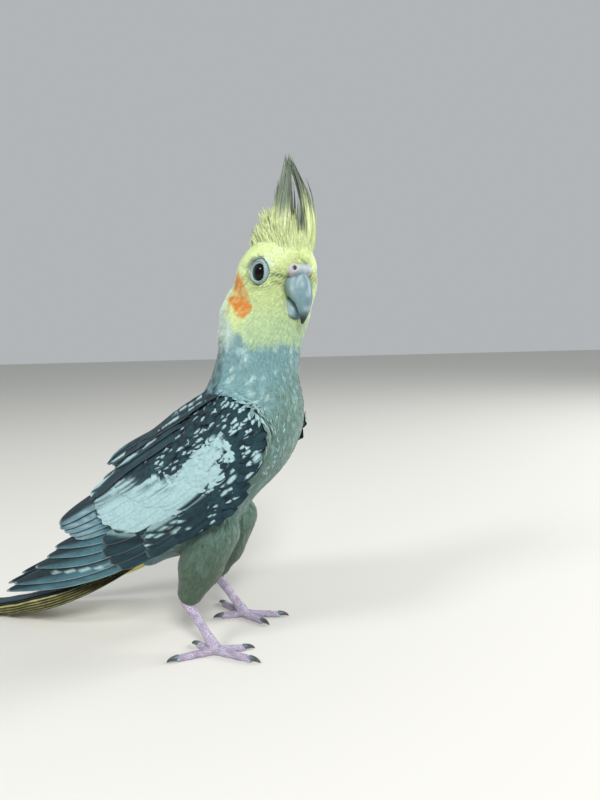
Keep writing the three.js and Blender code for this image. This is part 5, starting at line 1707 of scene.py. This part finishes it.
def thigh(name):
    """Feathered upper leg: its skin and the olive feathers that lie down it to the heel."""
    start, end = leg_line(SIDES[name], 0.9)
    flesh = tube([start, mix(start, end, 0.5), end], THIGH_SKIN_RADII, *TUBES["thigh"])
    # the skin takes the coat's olive darkened further: painted shade for what shows between the feathers
    make_piece(f"thigh_skin_{name}", *flesh, SKIN, "grey_plumage", (f"thigh_{name}",), SHADED_OLIVE * 0.6)
    angle = turns(THIGH_COLUMNS)[:, None]
    way = unit(end - start)
    wide = unit(np.cross(way, [0, 0, 1.0]))
    ring = wide * np.cos(angle) + np.cross(wide, way) * np.sin(angle)
    dome = np.radians(np.linspace(80, 0, 16, endpoint=False))[:, None, None]
    cap = start + (ring * np.cos(dome) - way * np.sin(dome)) * KNEE_RADIUS
    t = np.linspace(0.0, 1, 50)[:, None, None]
    shaft = mix(start, end, t) + ring * curve(THIGH_COAT_RADII, t)
    surface = np.concatenate([cap, shaft])
    surface = settle(surface, 0, union(thigh_forms(SIDES[name])))
    shown = (body_distance(surface) > -1.6) * 1.5
    root, _, uv = strew(surface, 1 / THIGH_COLUMNS, np.linspace(0, 1, len(surface)), shown, 0.77)
    seen = body_distance(root) > -1.2
    coat(f"thigh_coat_{name}", "grey_plumage", root[seen], way, uv[seen], **THIGH_FEATHERS, mark_of=body_mark,
         distance=coat_distance, seed=71, tone=0.12)


# Floor, light and camera

CAMERA_PLACE = np.array([70.66, -236.68, 131.8])
CAMERA_PITCH = np.arctan(0.111)
CAMERA_ROLL = 0.0355
CAMERA_AZIMUTH = 15
LENS = 27
NEAREST_SEEN = 0.005
FLOOR_HALF = 3.0
SKY = (0.80, 0.84, 0.86, 1)
SKY_STRENGTH = 0.55
LIGHT_TARGET = (0.07, 0, 0.1)
LIGHTS = [("key", (0.6, -0.92, 0.92), 0.32, 13), ("rim", (0.9, 0.5, 0.55), 0.5, 7),
          ("fill", (-0.5, -0.8, 0.98), 0.3, 6)]


def photo_camera():
    turn = frame_of(CAMERA_AZIMUTH, 0).T
    right, up = np.array([1.0, 0, 0]), np.array([0, np.sin(CAMERA_PITCH), np.cos(CAMERA_PITCH)])
    backward = np.array([0, -np.cos(CAMERA_PITCH), np.sin(CAMERA_PITCH)])
    c, s = np.cos(CAMERA_ROLL), np.sin(CAMERA_ROLL)
    axes = np.array([turn @ (right * c - up * s), turn @ (right * s + up * c), turn @ backward])
    data = bpy.data.cameras.new("photo_view")
    data.lens = LENS
    data.clip_start = NEAREST_SEEN
    camera = place_object("photo_view", data)
    camera.matrix_world = Matrix([*np.column_stack([axes.T, (CAMERA_PLACE + ORIGIN) * MM]), [0, 0, 0, 1]])
    bpy.context.scene.camera = camera


def soft_light(name, place, size, power):
    data = bpy.data.lights.new(name, "AREA")
    data.size = size
    data.energy = power
    lamp = place_object(name, data)
    lamp.location = place
    lamp.rotation_euler = (Vector(LIGHT_TARGET) - Vector(place)).to_track_quat("-Z", "Y").to_euler()


def studio():
    mesh = bpy.data.meshes.new("floor")
    corners = [(x * FLOOR_HALF, y * FLOOR_HALF, 0) for x, y in ((-1, -1), (1, -1), (1, 1), (-1, 1))]
    mesh.from_pydata(corners, [], [(0, 1, 2, 3)])
    floor = place_object("floor", mesh)
    mesh.materials.append(material("floor_paper", 0.85, paper_nodes, 0.2, base_color=(*FLOOR_PAPER, 1)))
    world = bpy.data.worlds.new("studio")
    world.use_nodes = True
    background = next(n for n in world.node_tree.nodes if n.type == "BACKGROUND")
    background.inputs["Color"].default_value = SKY
    background.inputs["Strength"].default_value = SKY_STRENGTH
    bpy.context.scene.world = world
    for light in LIGHTS:
        soft_light(*light)
    bpy.context.scene.view_settings.view_transform = "Standard"


photo_camera()
studio()
body_skin()
body_coat()
wings()
tail()
tail_coverts()
crest()
bill("bill_hook", UPPER_BILL, "bill_upper", -10, 0.35)
bill("bill_cup", LOWER_BILL, "bill_lower", -11, 0.0)
cere()
for side_name in SIDES:
    eye(side_name)
    lids(side_name)
    thigh(side_name)
    leg(side_name)
